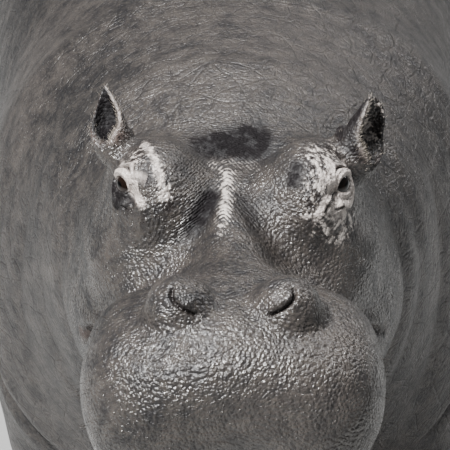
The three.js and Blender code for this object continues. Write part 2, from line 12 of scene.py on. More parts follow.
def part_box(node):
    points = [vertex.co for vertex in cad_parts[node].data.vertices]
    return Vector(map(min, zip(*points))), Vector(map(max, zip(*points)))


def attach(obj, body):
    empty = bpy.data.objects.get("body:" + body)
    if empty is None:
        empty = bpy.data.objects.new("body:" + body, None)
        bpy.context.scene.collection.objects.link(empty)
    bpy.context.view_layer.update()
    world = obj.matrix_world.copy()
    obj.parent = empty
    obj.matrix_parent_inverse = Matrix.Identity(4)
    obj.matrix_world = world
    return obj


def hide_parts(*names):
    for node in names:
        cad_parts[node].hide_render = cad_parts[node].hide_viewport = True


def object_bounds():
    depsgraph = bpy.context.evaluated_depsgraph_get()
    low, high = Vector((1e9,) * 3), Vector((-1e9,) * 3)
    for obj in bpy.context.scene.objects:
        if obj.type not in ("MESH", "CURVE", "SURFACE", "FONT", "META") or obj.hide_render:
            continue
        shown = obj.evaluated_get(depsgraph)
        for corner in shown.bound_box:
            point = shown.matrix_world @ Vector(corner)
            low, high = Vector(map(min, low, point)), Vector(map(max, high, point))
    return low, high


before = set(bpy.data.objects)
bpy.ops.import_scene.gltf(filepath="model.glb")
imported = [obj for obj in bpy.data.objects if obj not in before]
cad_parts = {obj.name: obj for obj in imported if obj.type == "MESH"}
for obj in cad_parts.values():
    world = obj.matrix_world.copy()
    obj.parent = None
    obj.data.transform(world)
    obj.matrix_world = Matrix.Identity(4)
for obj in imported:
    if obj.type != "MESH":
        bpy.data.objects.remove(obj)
cad_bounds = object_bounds()
box_low, box_high = (np.array(corner) for corner in cad_bounds)

# ---------------------------------------------------------------- the hide: its form
# One bare skin, two to five centimetres thick, drawn over the whole animal without a seam. It is smooth
# over the barrel and gathers into folds at the neck, the joints, the lids, the nostrils and the lips.

FLESH = ["head", "lower_jaw", "ear_left", "ear_right", "neck", "trunk", "tail"]
LIMBS = [f"{pair}_{side}" for pair in ("front", "hind") for side in ("left", "right")]
FLESH += [f"{part}_{limb}" for part in ("leg", "foot") for limb in LIMBS]
GAP_FILL = 0.0006  # the solids stand a hair apart; each grows by this before they melt together
HEAD_GRAIN = 0.0034  # spacing of the hide's points on the head
BODY_GRAIN = 0.34  # how finely the body is meshed, against the head
NECK_FRONT, NECK_BACK = -0.78, -0.30  # where that changes, along the body
WITHERS, WITHERS_REACH = -0.31, 0.34  # the highest part of the shoulders, along the body
CALM_GRAIN, CALM_ROUNDS = 0.0075, 12  # the coarse net's spacing, and how often it is blurred
SMOOTH_ROUNDS, BODY_ROUNDS, WITHERS_ROUNDS = 14, 6, 90  # smoothing: all over, the body, its withers
SKIN_FACES = 132000  # about how many triangles the hide keeps before the eyes and nostrils are made finer
LID_SWELL = 0.0075  # how far the closed lids would stand over the eyeball
TAIL_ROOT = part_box("tail")[0].y

scene = bpy.context.scene


def middle_of(node):
    low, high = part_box(node)
    return np.array((low + high) / 2)


EYE_AT = {1: middle_of("eye_left"), -1: middle_of("eye_right")}
BROW = (EYE_AT[1] + EYE_AT[-1]) / 2  # midway between the eyes: the head is measured from here
EYE_RADIUS = (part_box("eye_left")[1].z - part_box("eye_left")[0].z) / 2


def ramp(start, end, value):
    """0 at start and 1 at end, with no corner at either."""
    t = np.clip((value - start) / (end - start), 0, 1)
    return t * t * (3 - 2 * t)


def hill(distance, reach):
    """1 in the middle, dying away round it."""
    return np.exp(-((distance / reach) ** 2))


def linked(mesh, name):
    made = bpy.data.objects.new(name, mesh)
    scene.collection.objects.link(made)
    return made


def evaluated(piece):
    """The mesh of a piece with its modifiers in it."""
    graph = bpy.context.evaluated_depsgraph_get()
    return bpy.data.meshes.new_from_object(piece.evaluated_get(graph))


def numbers_of(items, key, width, kind=np.float32):
    """What a mesh keeps for each of its points, edges or corners, one row for each."""
    numbers = np.empty(len(items) * width, kind)
    items.foreach_get(key, numbers)
    return numbers.reshape(-1, width)


def points_of(mesh):
    return numbers_of(mesh.vertices, "co", 3, float)


def normals_of(mesh):
    return numbers_of(mesh.vertex_normals, "vector", 3).astype(float)


def place(mesh, points):
    mesh.vertices.foreach_set("co", points.ravel())
    mesh.update()


def mesh_of(grid, name):
    """A mesh made of a bmesh, which is freed."""
    mesh = bpy.data.meshes.new(name)
    grid.to_mesh(mesh)
    grid.free()
    return mesh


def edges_of(mesh):
    return numbers_of(mesh.edges, "vertices", 2, np.int32)


def relaxed(points, edges, rounds, share=1.0, push=-0.52):
    """Evens a surface out without shrinking it: each round draws every point in and pushes it back out."""
    count = len(points)
    start, end = edges.T
    touching = np.bincount(start, minlength=count) + np.bincount(end, minlength=count)
    share = np.broadcast_to(share, count)[:, None]
    for strength in [0.5, push] * rounds:
        sums = [
            np.bincount(start, points[end, axis], count) + np.bincount(end, points[start, axis], count)
            for axis in range(3)
        ]
        mean = np.stack(sums, 1) / np.maximum(touching, 1)[:, None]
        points = points + share * strength * (mean - points)
    return points


LATTICE = np.random.default_rng(11).random((40, 40, 40)) * 2 - 1


def mottle(points, size, octaves=2):
    """Smooth noise from about -1 to 1, in lumps `size` across with finer ones on them."""
    total = 0
    for octave in range(octaves):
        spot = points * (2**octave / size) + 7.3 * octave
        cell = np.floor(spot).astype(int)
        t = spot - cell
        t = t * t * (3 - 2 * t)
        for corner in np.ndindex(2, 2, 2):
            share = np.prod(np.where(corner, t, 1 - t), axis=1)
            total = total + share * LATTICE[tuple(((cell + corner) % 40).T)] / 2**octave
    return total


# The voxel remesh has one grain for all, so the body is drawn smaller while it works and let out again.
SPAN = np.linspace(cad_bounds[0].y - 0.1, cad_bounds[1].y + 0.1, 600)
SCALE = 1 - (1 - BODY_GRAIN) * ramp(NECK_FRONT, NECK_BACK, SPAN)
DRAWN = np.concatenate([[0], np.cumsum((SCALE[1:] + SCALE[:-1]) / 2 * np.diff(SPAN))])


def drawn_in(points):
    scale = np.interp(points[:, 1], SPAN, SCALE)
    return np.stack([points[:, 0] * scale, np.interp(points[:, 1], SPAN, DRAWN), points[:, 2] * scale], 1)


def let_out(points):
    y = np.interp(points[:, 1], DRAWN, SPAN)
    scale = np.interp(y, SPAN, SCALE)
    return np.stack([points[:, 0] / scale, y, points[:, 2] / scale], 1)


EAR_ROOT = np.array([0.198, 0.116, 0.022])  # from the brow
EAR_BACK = 0.016  # how far the back of an ear stands behind its root
EAR_UP = [-0.30, 0.0, 0.15, 0.32, 0.50, 0.70, 0.86, 0.95, 1.0]  # shares of the length
EAR_CURL = [178, 172, 148, 108, 93, 83, 72, 64, 56]  # degrees from the middle of the back to the rim
EAR_WALL = [0.060, 0.040, 0.020, 0.0080, 0.007, 0.0065, 0.006, 0.0055, 0.005]
# How each ear stands, which way its hollow faces, its length, and its half width at the shares of it: the
# left one is turned outwards and looks blunt, the right one faces forwards and runs to a point.
EARS = {
    1: ([0.55, 0.06, 0.83], [0.78, -0.62, 0], 0.090, [46, 43, 42, 42, 40, 37, 30, 21, 10]),
    -1: ([-0.30, 0.33, 0.89], [-0.40, -1, 0], 0.099, [34, 33, 34, 33, 29, 20, 11, 6, 2]),
}


def ear_frame(axis, hollow):
    """Unit vectors across an ear, out of its hollow and along it."""
    along = np.array(axis) / np.linalg.norm(axis)
    out = np.array(hollow) - along * (np.array(hollow) @ along)
    out /= np.linalg.norm(out)
    return np.cross(along, out), out, along


def ear_section(up, half_widths):
    """Radius and curl of an ear's wall at a share of its length; the half widths are in millimetres."""
    curl = np.radians(np.interp(up, EAR_UP, EAR_CURL))
    return np.interp(up, EAR_UP, half_widths) / 1000 / np.sin(np.minimum(curl, math.pi / 2)), curl


def at_ears(points):
    """How much each point belongs to an ear, to its rim, and which way its hollow lies."""
    share, rim, hollow = np.zeros(len(points)), np.zeros(len(points)), np.zeros((len(points), 3))
    for side, (axis, faces, length, half_widths) in EARS.items():
        arm = points - BROW - EAR_ROOT * [side, 1, 1]
        across, out, along = ear_frame(axis, faces)
        u, v, w = arm @ across, arm @ out + EAR_BACK, arm @ along
        radius, curl = ear_section(w / length, half_widths)
        angle = np.arctan2(u, radius - v)
        width = np.hypot(u, radius - v) / np.maximum(radius, 0.012)
        mine = ramp(-0.012, 0.010, w) * (1 - ramp(1.3, 1.6, width)) * (points[:, 0] * side > 0)
        share += mine
        inner = 0.35 + 0.65 * ramp(-0.012, 0.012, -side * u)
        rim += mine * inner * ramp(0.72, 0.95, np.maximum(abs(angle) / curl, ramp(0.85, 1.0, w / length)))
        hollow += (mine > 0)[:, None] * (np.outer(-np.sin(angle), across) + np.outer(np.cos(angle), out))
    return share, rim, hollow


def ear_shell(side):
    """An ear is a leaf rolled into a cup; each ring runs round its back and returns along its hollow."""
    axis, faces, length, half_widths = EARS[side]
    across, out, along = ear_frame(axis, faces)
    origin = BROW + EAR_ROOT * [side, 1, 1] - EAR_BACK * out
    turns = np.linspace(-1, 1, 25)
    rings = []
    for up in np.linspace(-0.3, 1, 40):
        radius, curl = ear_section(up, half_widths)
        wall = np.interp(up, EAR_UP, EAR_WALL)
        inner = max(radius - wall, 0.0008)
        around = [(radius, turn * curl) for turn in turns]
        around += [(inner, turn * curl * 0.97) for turn in turns[::-1]]
        for far, angle in around:
            spot = across * far * math.sin(angle) + out * (radius - far * math.cos(angle))
            rings.append(origin + along * up * length + spot)
    count = 2 * len(turns)
    last_row = len(rings) - count
    faces = []
    for row in range(0, last_row, count):
        for i in range(count):
            beyond = (i + 1) % count
            faces.append((row + i, row + beyond, row + count + beyond, row + count + i))
    for row in (0, last_row):
        for i in range(len(turns) - 1):
            faces.append((row + i, row + i + 1, row + count - 2 - i, row + count - 1 - i))
    shell = bmesh.new()
    mesh = bpy.data.meshes.new("ear_shell")
    mesh.from_pydata([tuple(point) for point in rings], [], faces)
    shell.from_mesh(mesh)
    bmesh.ops.recalc_face_normals(shell, faces=shell.faces)
    shell.to_mesh(mesh)
    shell.free()
    return mesh


def flesh_mesh():
    """Every solid of flesh, each a little grown, with ears, and balls under the lids, in one mesh."""
    whole = bmesh.new()
    for side in EARS:
        whole.from_mesh(ear_shell(side))
    for node in FLESH:
        if node.startswith("ear"):
            continue
        solid = bmesh.new()
        solid.from_mesh(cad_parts[node].data)
        bmesh.ops.remove_doubles(solid, verts=solid.verts, dist=1e-5)
        solid.normal_update()
        for vert in solid.verts:
            vert.co += vert.normal * GAP_FILL
        longest = 0.016 if node in ("neck", "head", "trunk") else 0.045
        for _ in range(4):
            long = [edge for edge in solid.edges if edge.calc_length() > longest]
            bmesh.ops.subdivide_edges(solid, edges=long, cuts=1)
        bmesh.ops.triangulate(solid, faces=solid.faces)
        piece = mesh_of(solid, node + "_copy")
        whole.from_mesh(piece)
        bpy.data.meshes.remove(piece)
    for centre in EYE_AT.values():
        ball = bmesh.ops.create_uvsphere(whole, u_segments=32, v_segments=20, radius=EYE_RADIUS + LID_SWELL)
        bmesh.ops.translate(whole, verts=ball["verts"], vec=centre)
    return mesh_of(whole, "flesh")


def remeshed(mesh, grain):
    draft = linked(mesh, "draft")
    remesh = draft.modifiers.new("grain", "REMESH")
    remesh.mode = "VOXEL"
    remesh.voxel_size = grain
    made = evaluated(draft)
    bpy.data.objects.remove(draft)
    return made


def blurred(values, edges, rounds):
    """Each value drawn halfway to the mean of those beside it, time after time."""
    return relaxed(values, edges, rounds, push=0.5)


# Two nets of the same body: a coarse one is blurred and given back what blurring took, so that only its
# large forms are left, and the fine one is laid on it. Toes, ears and the tail's tip keep their own form.
flesh = flesh_mesh()
place(flesh, drawn_in(points_of(flesh)))
calm_mesh = remeshed(flesh.copy(), CALM_GRAIN)
calm_points, calm_edges = points_of(calm_mesh), edges_of(calm_mesh)
calm = blurred(calm_points, calm_edges, CALM_ROUNDS)
for _ in range(2):
    calm += blurred(calm_points - calm, calm_edges, CALM_ROUNDS)
calm_faces = [tuple(face.vertices) for face in calm_mesh.polygons]
calm_tree = BVHTree.FromPolygons(let_out(calm).tolist(), calm_faces)

skin_mesh = remeshed(flesh, HEAD_GRAIN)
points = let_out(points_of(skin_mesh))
edges = edges_of(skin_mesh)
x, y, z = points.T
ear_share = at_ears(points)[0]
calmness = (1 - ear_share) * ramp(0.20, 0.34, z) * (1 - ramp(TAIL_ROOT - 0.02, TAIL_ROOT + 0.04, y))
for i in np.flatnonzero(calmness > 0.001):
    near = calm_tree.find_nearest(points[i])[0]
    points[i] += calmness[i] * (np.array(near) - points[i])
points = relaxed(points, edges, SMOOTH_ROUNDS, 1 - 0.75 * ear_share)
points = relaxed(points, edges, BODY_ROUNDS, calmness * ramp(NECK_FRONT, NECK_BACK, y), push=0.0)
withers = hill(y - WITHERS, WITHERS_REACH) * ramp(0.85, 1.10, z)
points = relaxed(points, edges, WITHERS_ROUNDS, calmness * withers, push=0.0)

# ---------------------------------------------------------------- the hide: its folds
# Skin this thick can't wrinkle finely over a joint, so it buckles in a few deep, round-backed folds: rings
# round the neck, wrists and ankles, a pocket behind each leg, and the closed lips along the jaw.

# Folds seen from the side: places along and up the body, half width and depth.
SIDE_FOLDS = {
    "behind the elbow": ([(-0.13, 0.46), (-0.10, 0.55), (-0.14, 0.68), (-0.23, 0.82)], 0.015, 0.013),
    "before the shoulder": ([(-0.50, 0.54), (-0.44, 0.66), (-0.39, 0.80), (-0.38, 0.98)], 0.017, 0.012),
    "on the shoulder": ([(-0.28, 0.62), (-0.29, 0.72), (-0.27, 0.82)], 0.020, 0.005),
    "flank": ([(0.88, 0.40), (0.84, 0.52), (0.86, 0.66), (0.93, 0.82), (1.02, 0.94)], 0.018, 0.015),
    "before the flank": ([(0.79, 0.44), (0.75, 0.55), (0.78, 0.68), (0.82, 0.76)], 0.014, 0.007),
    "stifle": ([(1.02, 0.48), (1.10, 0.52), (1.20, 0.50)], 0.014, 0.005),
}
COLLARS = [(-0.84, 0.012), (-0.74, 0.014), (-0.61, 0.008), (-0.47, 0.010)]  # rings: place and depth
COLLAR_WIDTH, RING_WIDTH, LIP_WIDTH = 0.019, 0.011, 0.0085
LIP_DEPTH = 0.014
CLEFT_WIDTH, CLEFT_DEPTH = 0.022, 0.022  # under the tail
LEG_RINGS = [(0.262, 0.006), (0.305, 0.007), (0.352, 0.004)]  # height and depth
# The lips' line from the front of the jaws to its corner, measured from the brow.
LIPS = [(-0.90, -0.300), (-0.52, -0.300), (-0.40, -0.312), (-0.30, -0.285), (-0.20, -0.242)]
LIPS += [(-0.08, -0.245), (0.03, -0.305)]
LEAN = math.radians(28)  # the face leans back this much
FACE_OUT = np.array([0, -math.cos(LEAN), math.sin(LEAN)])
FACE_UP = np.array([0, math.sin(LEAN), math.cos(LEAN)])
NOSTRIL = np.array([0.088, -0.385, -0.014])  # the middle of its knob, from the brow
KNOB_REACH = 0.070  # how wide that knob is, to the furrow round it
CROWN = np.array([0.022, 0.130, 0.012])  # the hollow behind the forehead, from the brow
CROWN_DEPTH, CROWN_ACROSS, CROWN_ALONG = 0.036, 0.080, 0.042
# Along the bridge of the nose, across the face and up it: its two flanks and its crest.
BRIDGE_FLANKS = [
    [(-0.034, 0.014), (-0.036, -0.020), (-0.050, -0.045), (-0.068, -0.076), (-0.096, -0.112)],
    [(0.014, 0.006), (0.020, -0.028), (0.030, -0.052), (0.046, -0.072), (0.080, -0.096)],
]
BRIDGE_CREST = [(-0.011, 0.040), (-0.009, 0.000), (-0.013, -0.036), (-0.019, -0.068), (-0.030, -0.100)]
BROW_FOLD = [(0.052, 0.044), (0.064, 0.055), (0.080, 0.063), (0.112, 0.070), (0.140, 0.072)]
FLANK_DEPTH, FLANK_WIDTH = 0.008, 0.015
RIDGES = [(BRIDGE_CREST, 0.007, 0.014), (BROW_FOLD, 0.004, 0.006)]  # each one's line, height and width


def mirrored(points):
    """The points as if all were on the animal's left."""
    return points * np.array([-1, 1, 1]) ** (points[:, :1] < 0)


def to_eye(points):
    """How far each point is from the nearer eye."""
    return np.min([np.linalg.norm(points - at, axis=1) for at in EYE_AT.values()], axis=0)


def to_nostril(points):
    return np.linalg.norm(mirrored(points - BROW) - NOSTRIL, axis=1)


def on_face(arms):
    """How far across the face and up it each arm from the brow reaches."""
    return np.stack([arms[:, 0], arms @ FACE_UP], 1)


def rounded(line):
    """A broken line with its corners cut twice."""
    line = np.array(line, float)
    for _ in range(2):
        cut = np.stack([0.75 * line[:-1] + 0.25 * line[1:], 0.25 * line[:-1] + 0.75 * line[1:]], 1)
        line = np.concatenate([line[:1], cut.reshape(-1, 2), line[-1:]])
    return line


def beside(spots, line):
    """How far each spot lies from a line in the same plane, and how far along it, from 0 to 1."""
    line = rounded(line)
    steps = np.diff(line, axis=0)
    lengths = np.hypot(*steps.T)
    reached = np.concatenate([[0], np.cumsum(lengths)])
    gap = np.full(len(spots), 9.0)
    share = np.zeros(len(spots))
    for start, step, length, before in zip(line, steps, lengths, reached):
        t = np.clip((spots - start) @ step / length**2, 0, 1)
        here = np.hypot(*(spots - start - t[:, None] * step).T)
        nearer = here < gap
        gap[nearer] = here[nearer]
        share[nearer] = (before + t[nearer] * length) / reached[-1]
    return gap, share


def furrow(gap, width):
    """A fold's section: 1 at the bottom of the furrow, and a low swell on both sides of it."""
    return hill(gap, width) - 0.4 * hill(abs(gap) - 2.3 * width, 1.3 * width)


def tapered(share, first=0.15, last=0.2):
    return ramp(0, first, share) * (1 - ramp(1 - last, 1, share))


place(skin_mesh, points)
normals = normals_of(skin_mesh)
x, y, z = points.T
sway = 0.034 * mottle(points, 0.42) + 0.004 * mottle(points, 0.07, 1)
depth = -0.0035 * mottle(points, 0.26) * ramp(-0.95, -0.75, y)

sideways = np.stack([y, z], 1)
for line, width, deep in SIDE_FOLDS.values():
    near = np.flatnonzero((abs(normals[:, 0]) > 0.25) & (y > line[0][0] - 0.4) & (y < line[-1][0] + 0.4))
    gap, share = beside(sideways[near] + sway[near, None] * 0.6, line)
    depth[near] += deep * furrow(gap, width) * tapered(share) * ramp(0.25, 0.55, abs(normals[near, 0]))

for at, deep in COLLARS:
    bowed = at + 0.25 * (z - 1.1) ** 2 + sway
    fade = (1 - 0.92 * ramp(1.0, 1.36, z)) * (0.6 + 0.7 * mottle(points + at, 0.35, 1))
    depth += deep * fade * furrow(y - bowed, COLLAR_WIDTH) * ramp(0.55, 0.75, z + 0.4 * (y < -0.6))

cleft = hill(x, CLEFT_WIDTH) * ramp(1.35, 1.42, y) * ramp(0.42, 0.60, z) * (1 - ramp(0.90, 1.0, z))
depth += CLEFT_DEPTH * cleft

slant = z + 0.10 * (np.where(y > 0.4, y - 1.08, y + 0.36)) + 0.6 * sway
for at, deep in LEG_RINGS:
    depth += deep * furrow(slant - at, RING_WIDTH) * (0.6 + 0.4 * mottle(points, 0.12, 1)) * (z < 0.42)

face = np.flatnonzero(y < BROW[1] + 0.12)
gap, share = beside(sideways[face] - BROW[1:], LIPS)
upright = ramp(-0.5, -0.1, 0.4 - abs(normals[face, 2]))
depth[face] += LIP_DEPTH * furrow(gap, LIP_WIDTH) * (1 - ramp(0.93, 1, share)) * upright

# The bridge of the nose stands up as a keel, and the nostrils' knobs clear of the muzzle.
face_spots = on_face(points - BROW)
facing = ramp(0.1, 0.5, normals @ FACE_OUT) * (y > BROW[1] - 0.33)
for line in BRIDGE_FLANKS:
    gap, share = beside(face_spots, line)
    depth += FLANK_DEPTH * hill(gap, FLANK_WIDTH) * tapered(share, 0.25, 0.4) * facing
for line, rise, width in RIDGES:
    gap, share = beside(face_spots, line)
    depth -= rise * hill(gap, width) * tapered(share, 0.3, 0.4) * facing
depth += 0.006 * hill(to_nostril(points) - KNOB_REACH, 0.014) * ramp(-0.2, 0.3, normals @ FACE_OUT)

# The crown sinks behind the forehead and before the first roll of the neck.
crown = points - BROW - CROWN
sunk = hill(crown[:, 0], CROWN_ACROSS) * hill(crown[:, 1], CROWN_ALONG) * ramp(-0.05, 0, crown[:, 2])
depth += CROWN_DEPTH * sunk

# Three lumps of gristle in the mouth of the left ear: where, across it, out of its back and along it, and
# how high each stands.
GRISTLE = [((-0.010, 0.012, 0.018), 0.010), ((0.010, 0.010, 0.030), 0.009), ((0.016, 0.016, 0.008), 0.008)]


def at_gristle(points, reach):
    axis, faces, *_ = EARS[1]
    base = BROW + EAR_ROOT - EAR_BACK * ear_frame(axis, faces)[1]
    swell = np.zeros(len(points))
    for lump, rise in GRISTLE:
        at = base + np.array(lump) @ np.array(ear_frame(axis, faces))
        swell = np.maximum(swell, hill(np.linalg.norm(points - at, axis=1), reach) * rise)
    return swell


depth -= at_gristle(points, 0.010) * ramp(-0.2, 0.3, (normals * at_ears(points)[2]).sum(axis=1))
points -= normals * depth[:, None]
points = relaxed(points, edges, 2, 1 - 0.5 * ear_share)

# ---------------------------------------------------------------- the hide: lids and nostrils
# The eyes are small and set in thick, pale, hairless lids on top of the head. The nostrils are slits that
# shut by themselves, each on its own knob. The mesh is finer here than anywhere else.

FINE_REACH = 0.062  # how far round an eye or a nostril the mesh stays fine
GAZE = Vector((0.74, -0.5, 0.25)).normalized()  # the animal's left eye; the right one mirrors it
EYE_LONG = Vector((0.545, 0.82, 0.10)).normalized()  # from the front corner to the rear one
EYE_CORNER = math.radians(47)  # from the middle of the slit, seen from the ball's middle
LID_LIFT = {"upper": math.radians(29), "lower": math.radians(27)}
NOSTRIL_SLIT = [(-0.036, -0.018), (-0.018, -0.010), (-0.008, -0.006), (0.000, 0.001), (0.009, 0.009)]
NOSTRIL_SLIT += [(0.011, 0.021), (0.004, 0.030)]
LID_CREASE, CREASE_WIDTH, CREASE_DEPTH = 0.0140, 0.0015, 0.0042  # over the eye: how far from its slit
LOW_CREASES = (0.0095, 0.0170)  # the same under the eye
WRINKLE_WIDTH, WRINKLE_DEPTH = 0.0015, 0.0028
SLIT_WIDTH, SLIT_DEPTH = 0.0030, 0.010
EYE_RIDGE = [(0.190, 0.010), (0.174, -0.010), (0.160, -0.032), (0.140, -0.066)]  # before the lids
# Wrinkles below and before the eye, out from the middle of the face and up it.
EYE_WRINKLES = [
    [(0.153, -0.044), (0.159, -0.036), (0.168, -0.026), (0.177, -0.023), (0.188, -0.028)],
    [(0.162, -0.035), (0.170, -0.036), (0.180, -0.035)],
    [(0.170, -0.046), (0.180, -0.043), (0.192, -0.036)],
    [(0.146, -0.062), (0.151, -0.052), (0.156, -0.042)],
]


def about_eye(points):
    """Each point's direction from its eye: along the slit, across it, and its distance."""
    g, a = np.array(GAZE), np.array(EYE_LONG)
    a = a - g * (a @ g)
    a /= np.linalg.norm(a)
    b = np.cross(g, a)
    arm = mirrored(points) - EYE_AT[1]
    far = np.linalg.norm(arm, axis=1)
    arm = arm / far[:, None]
    ahead = np.arctan2(arm @ a, arm @ g)
    return ahead, np.arcsin(np.clip(arm @ b, -1, 1)), far


def from_slit(ahead, across):
    """How far a direction is from the edge of the eye's slit, on the ball; below 0 inside it."""
    arch = (1 - np.clip(abs(ahead) / EYE_CORNER, 0, 1) ** 2.3) ** 0.8
    outside = np.maximum(across - LID_LIFT["upper"] * arch, -LID_LIFT["lower"] * arch - across)
    beyond = np.hypot(np.maximum(abs(ahead) - EYE_CORNER, 0), across)
    return EYE_RADIUS * np.where(abs(ahead) < EYE_CORNER, outside, beyond)


place(skin_mesh, points)
near_eye = to_eye(points)
near_nostril = to_nostril(points)
coarse = np.flatnonzero((near_eye > FINE_REACH) & (near_nostril > FINE_REACH))
hide = linked(skin_mesh, "hide")
hide.vertex_groups.new(name="thin").add(coarse.tolist(), 1, "REPLACE")
thin = hide.modifiers.new("thin", "DECIMATE")
thin.ratio = SKIN_FACES / (2 * len(skin_mesh.polygons))
thin.vertex_group = "thin"
hide.data = evaluated(hide)
hide.modifiers.clear()
hide.vertex_groups.clear()


def split_near(mesh, spots, reach, longest):
    """Cuts the long edges round some spots in half."""
    grid = bmesh.new()
    grid.from_mesh(mesh)
    low, high = reach
    picked = []
    for edge in grid.edges:
        if edge.calc_length() > longest:
            middle = (edge.verts[0].co + edge.verts[1].co) / 2
            if any(low < (middle - spot).length < high for spot in spots):
                picked.append(edge)
    bmesh.ops.subdivide_edges(grid, edges=picked, cuts=1, use_grid_fill=True)
    bmesh.ops.triangulate(grid, faces=[face for face in grid.faces if len(face.verts) > 4])
    grid.to_mesh(mesh)
    grid.free()


eyes_at = [Vector(at) for at in EYE_AT.values()]
nostrils_at = [Vector(BROW + NOSTRIL * np.array([side, 1, 1])) for side in (1, -1)]
split_near(hide.data, eyes_at + nostrils_at, (0, FINE_REACH), 0.0024)
split_near(hide.data, eyes_at, (0, EYE_RADIUS + 0.026), 0.0014)
points, edges = points_of(hide.data), edges_of(hide.data)
near_eye = to_eye(points)
near_nostril = to_nostril(points)
fine = 1 - ramp(FINE_REACH - 0.006, FINE_REACH, np.minimum(near_eye, near_nostril))
points = relaxed(points, edges, 3, fine)
place(hide.data, points)

# Wrinkles round the eyes, on the side of the face that looks forwards.
normals = normals_of(hide.data)
face_spots = on_face(mirrored(points - BROW))
facing = ramp(-0.05, 0.15, normals @ FACE_OUT) * (near_eye < 0.12)
depth = np.zeros(len(points))
# Painted shade along the bottoms of the wrinkles, the nostril slits and the lid lines, kept for the
# material.
crease_shade = np.zeros(len(points))
for line in EYE_WRINKLES:
    gap, share = beside(face_spots, line)
    here = tapered(share, 0.12, 0.25) * facing
    depth += WRINKLE_DEPTH * furrow(gap, WRINKLE_WIDTH) * here
    crease_shade = np.maximum(crease_shade, hill(gap, 0.0014) * here)
ridge_gap, ridge_share = beside(face_spots, EYE_RIDGE)
depth -= 0.0035 * hill(ridge_gap, 0.006) * tapered(ridge_share, 0.2, 0.25) * facing

# Nostrils: a furrow that curls over the knob, with a flap on its inner side.
slit_spots = face_spots - np.array([NOSTRIL[0], NOSTRIL @ FACE_UP])
gap, share = beside(slit_spots, NOSTRIL_SLIT)
on_knob = (1 - ramp(0.05, 0.075, near_nostril)) * ramp(-0.1, 0.3, normals @ FACE_OUT)
slit = hill(gap, SLIT_WIDTH) * tapered(share, 0.12, 0.2) * on_knob
flap = hill(np.hypot(slit_spots[:, 0] + 0.020, slit_spots[:, 1] - 0.006), 0.013) * on_knob
rim = hill(gap - 0.008, 0.005) * ramp(0.4, 0.8, share) * on_knob
depth += SLIT_DEPTH * slit - 0.004 * flap - 0.002 * rim
crease_shade = np.maximum(crease_shade, slit)
points = points - normals * depth[:, None]

# Lids: behind the ball inside the slit, a thick round margin at its edge, then out to meet the face.
ahead, across, far = about_eye(points)
edge_gap = from_slit(ahead, across)
upper = ramp(-0.1, 0.3, across)
full = (0.0040 + 0.0035 * upper) * (0.15 + 0.85 * ramp(-1.15, -0.35, ahead))
margin = EYE_RADIUS - 0.005 + 0.006 * ramp(-0.0010, 0.0008, edge_gap)
margin += full * ramp(0.0004, 0.0045, edge_gap)
front = (ahead > -1.6) & (ahead < 1.7) & (near_eye < 0.06)
raised = 1 - ramp(0.014, 0.028, edge_gap)
lowered = 1 - ramp(0.005, 0.015, edge_gap)
lid_share = np.where(far < margin, raised, lowered) * front
spread = (far + lid_share * (margin - far)) / far
eye_base = EYE_AT[1] * np.array([-1, 1, 1]) ** (points[:, :1] < 0)
points = eye_base + (points - eye_base) * spread[:, None]
around_slit = ramp(0.002, 0.004, edge_gap) * (1 - ramp(0.03, 0.04, edge_gap))
points = relaxed(points, edges, 2, 0.7 * front * around_slit)
place(hide.data, points)
normals = normals_of(hide.data)
over_lid = upper * ramp(-0.75, -0.25, ahead)
lid_lines = CREASE_DEPTH * furrow(edge_gap - LID_CREASE, CREASE_WIDTH) * over_lid
under_lid = hill(edge_gap - LOW_CREASES[0], 0.0014) + hill(edge_gap - LOW_CREASES[1], 0.0018)
lid_lines += 0.0020 * under_lid * (1 - upper)
points -= normals * (lid_lines * front)[:, None]
for at, width, strength in [
    (LID_CREASE, 0.0013, over_lid),
    (LOW_CREASES[0], 0.0012, 0.5 * (1 - upper)),
    (0, 0.0016, 0.7),
]:
    crease_shade = np.maximum(crease_shade, hill(edge_gap - at, width) * strength * front)

points = np.clip(points, box_low + [1e-4, 1e-4, 0], box_high - 1e-4)
place(hide.data, points)
hide.data.shade_smooth()

# ---------------------------------------------------------------- the hide: its colouring
# Slate to purplish brown and almost naked, wet with its own sweat, finely cracked all over. It is pink or
# pale round the eyes, ears, lips and in the folds, and pale patches speckle the knobs over the eyes.
# Shade and glints are painted in too: painted shadow in the hollow behind the forehead, on the nose's
# flanks, the knobs, the ears and round the right eye; painted shade in cracks, pits and furrows; a painted
# glint along the nose's crest.

SLATE = (0.018, 0.017, 0.018)
UMBER = (0.082, 0.072, 0.067)
ROSY = (0.180, 0.115, 0.100)
PALE = (0.560, 0.500, 0.460)
# The pale of the speckled patches, used also as a painted glint along the crest of the nose.
BUFF_AND_GLINT = (0.560, 0.510, 0.470)
MUD = (0.130, 0.115, 0.097)
# Painted shadow: the tone laid in the dark patches.
PAINTED_SHADOW_TONE = (0.007, 0.006, 0.007)  # in the dark patches
# Painted shade for the cracks, the pits between pebbles and the furrows.
CREVICE_SHADE = (0.020, 0.015, 0.014)
# Markings on the face, out from its middle and up it, with the lines of painted shadow and painted glint.
# They do not mirror.
PALE_FOLD = [(0.186, 0.016), (0.168, -0.012), (0.150, -0.040), (0.130, -0.074)]
PALE_STRIP = [(-0.160, 0.076), (-0.142, 0.060), (-0.127, 0.028), (-0.118, -0.006), (-0.108, -0.032)]
# Line of a painted glint arching over the brow.
BROW_GLINT_LINE = [(-0.048, 0.030), (-0.020, 0.040), (0.020, 0.042), (0.052, 0.030)]
# Lines of painted shadow: across the hollow behind the forehead, and down the inner front of the left knob
# over the eye.
CROWN_SHADOW_LINE = [(-0.110, 0.068), (-0.02, 0.066), (0.03, 0.070), (0.085, 0.058)]
KNOB_SHADOW_LINE = [(0.118, 0.048), (0.104, 0.018), (0.098, -0.018)]
RIPPLE = 0.0068  # from one fine wrinkle on the bridge of the nose to the next


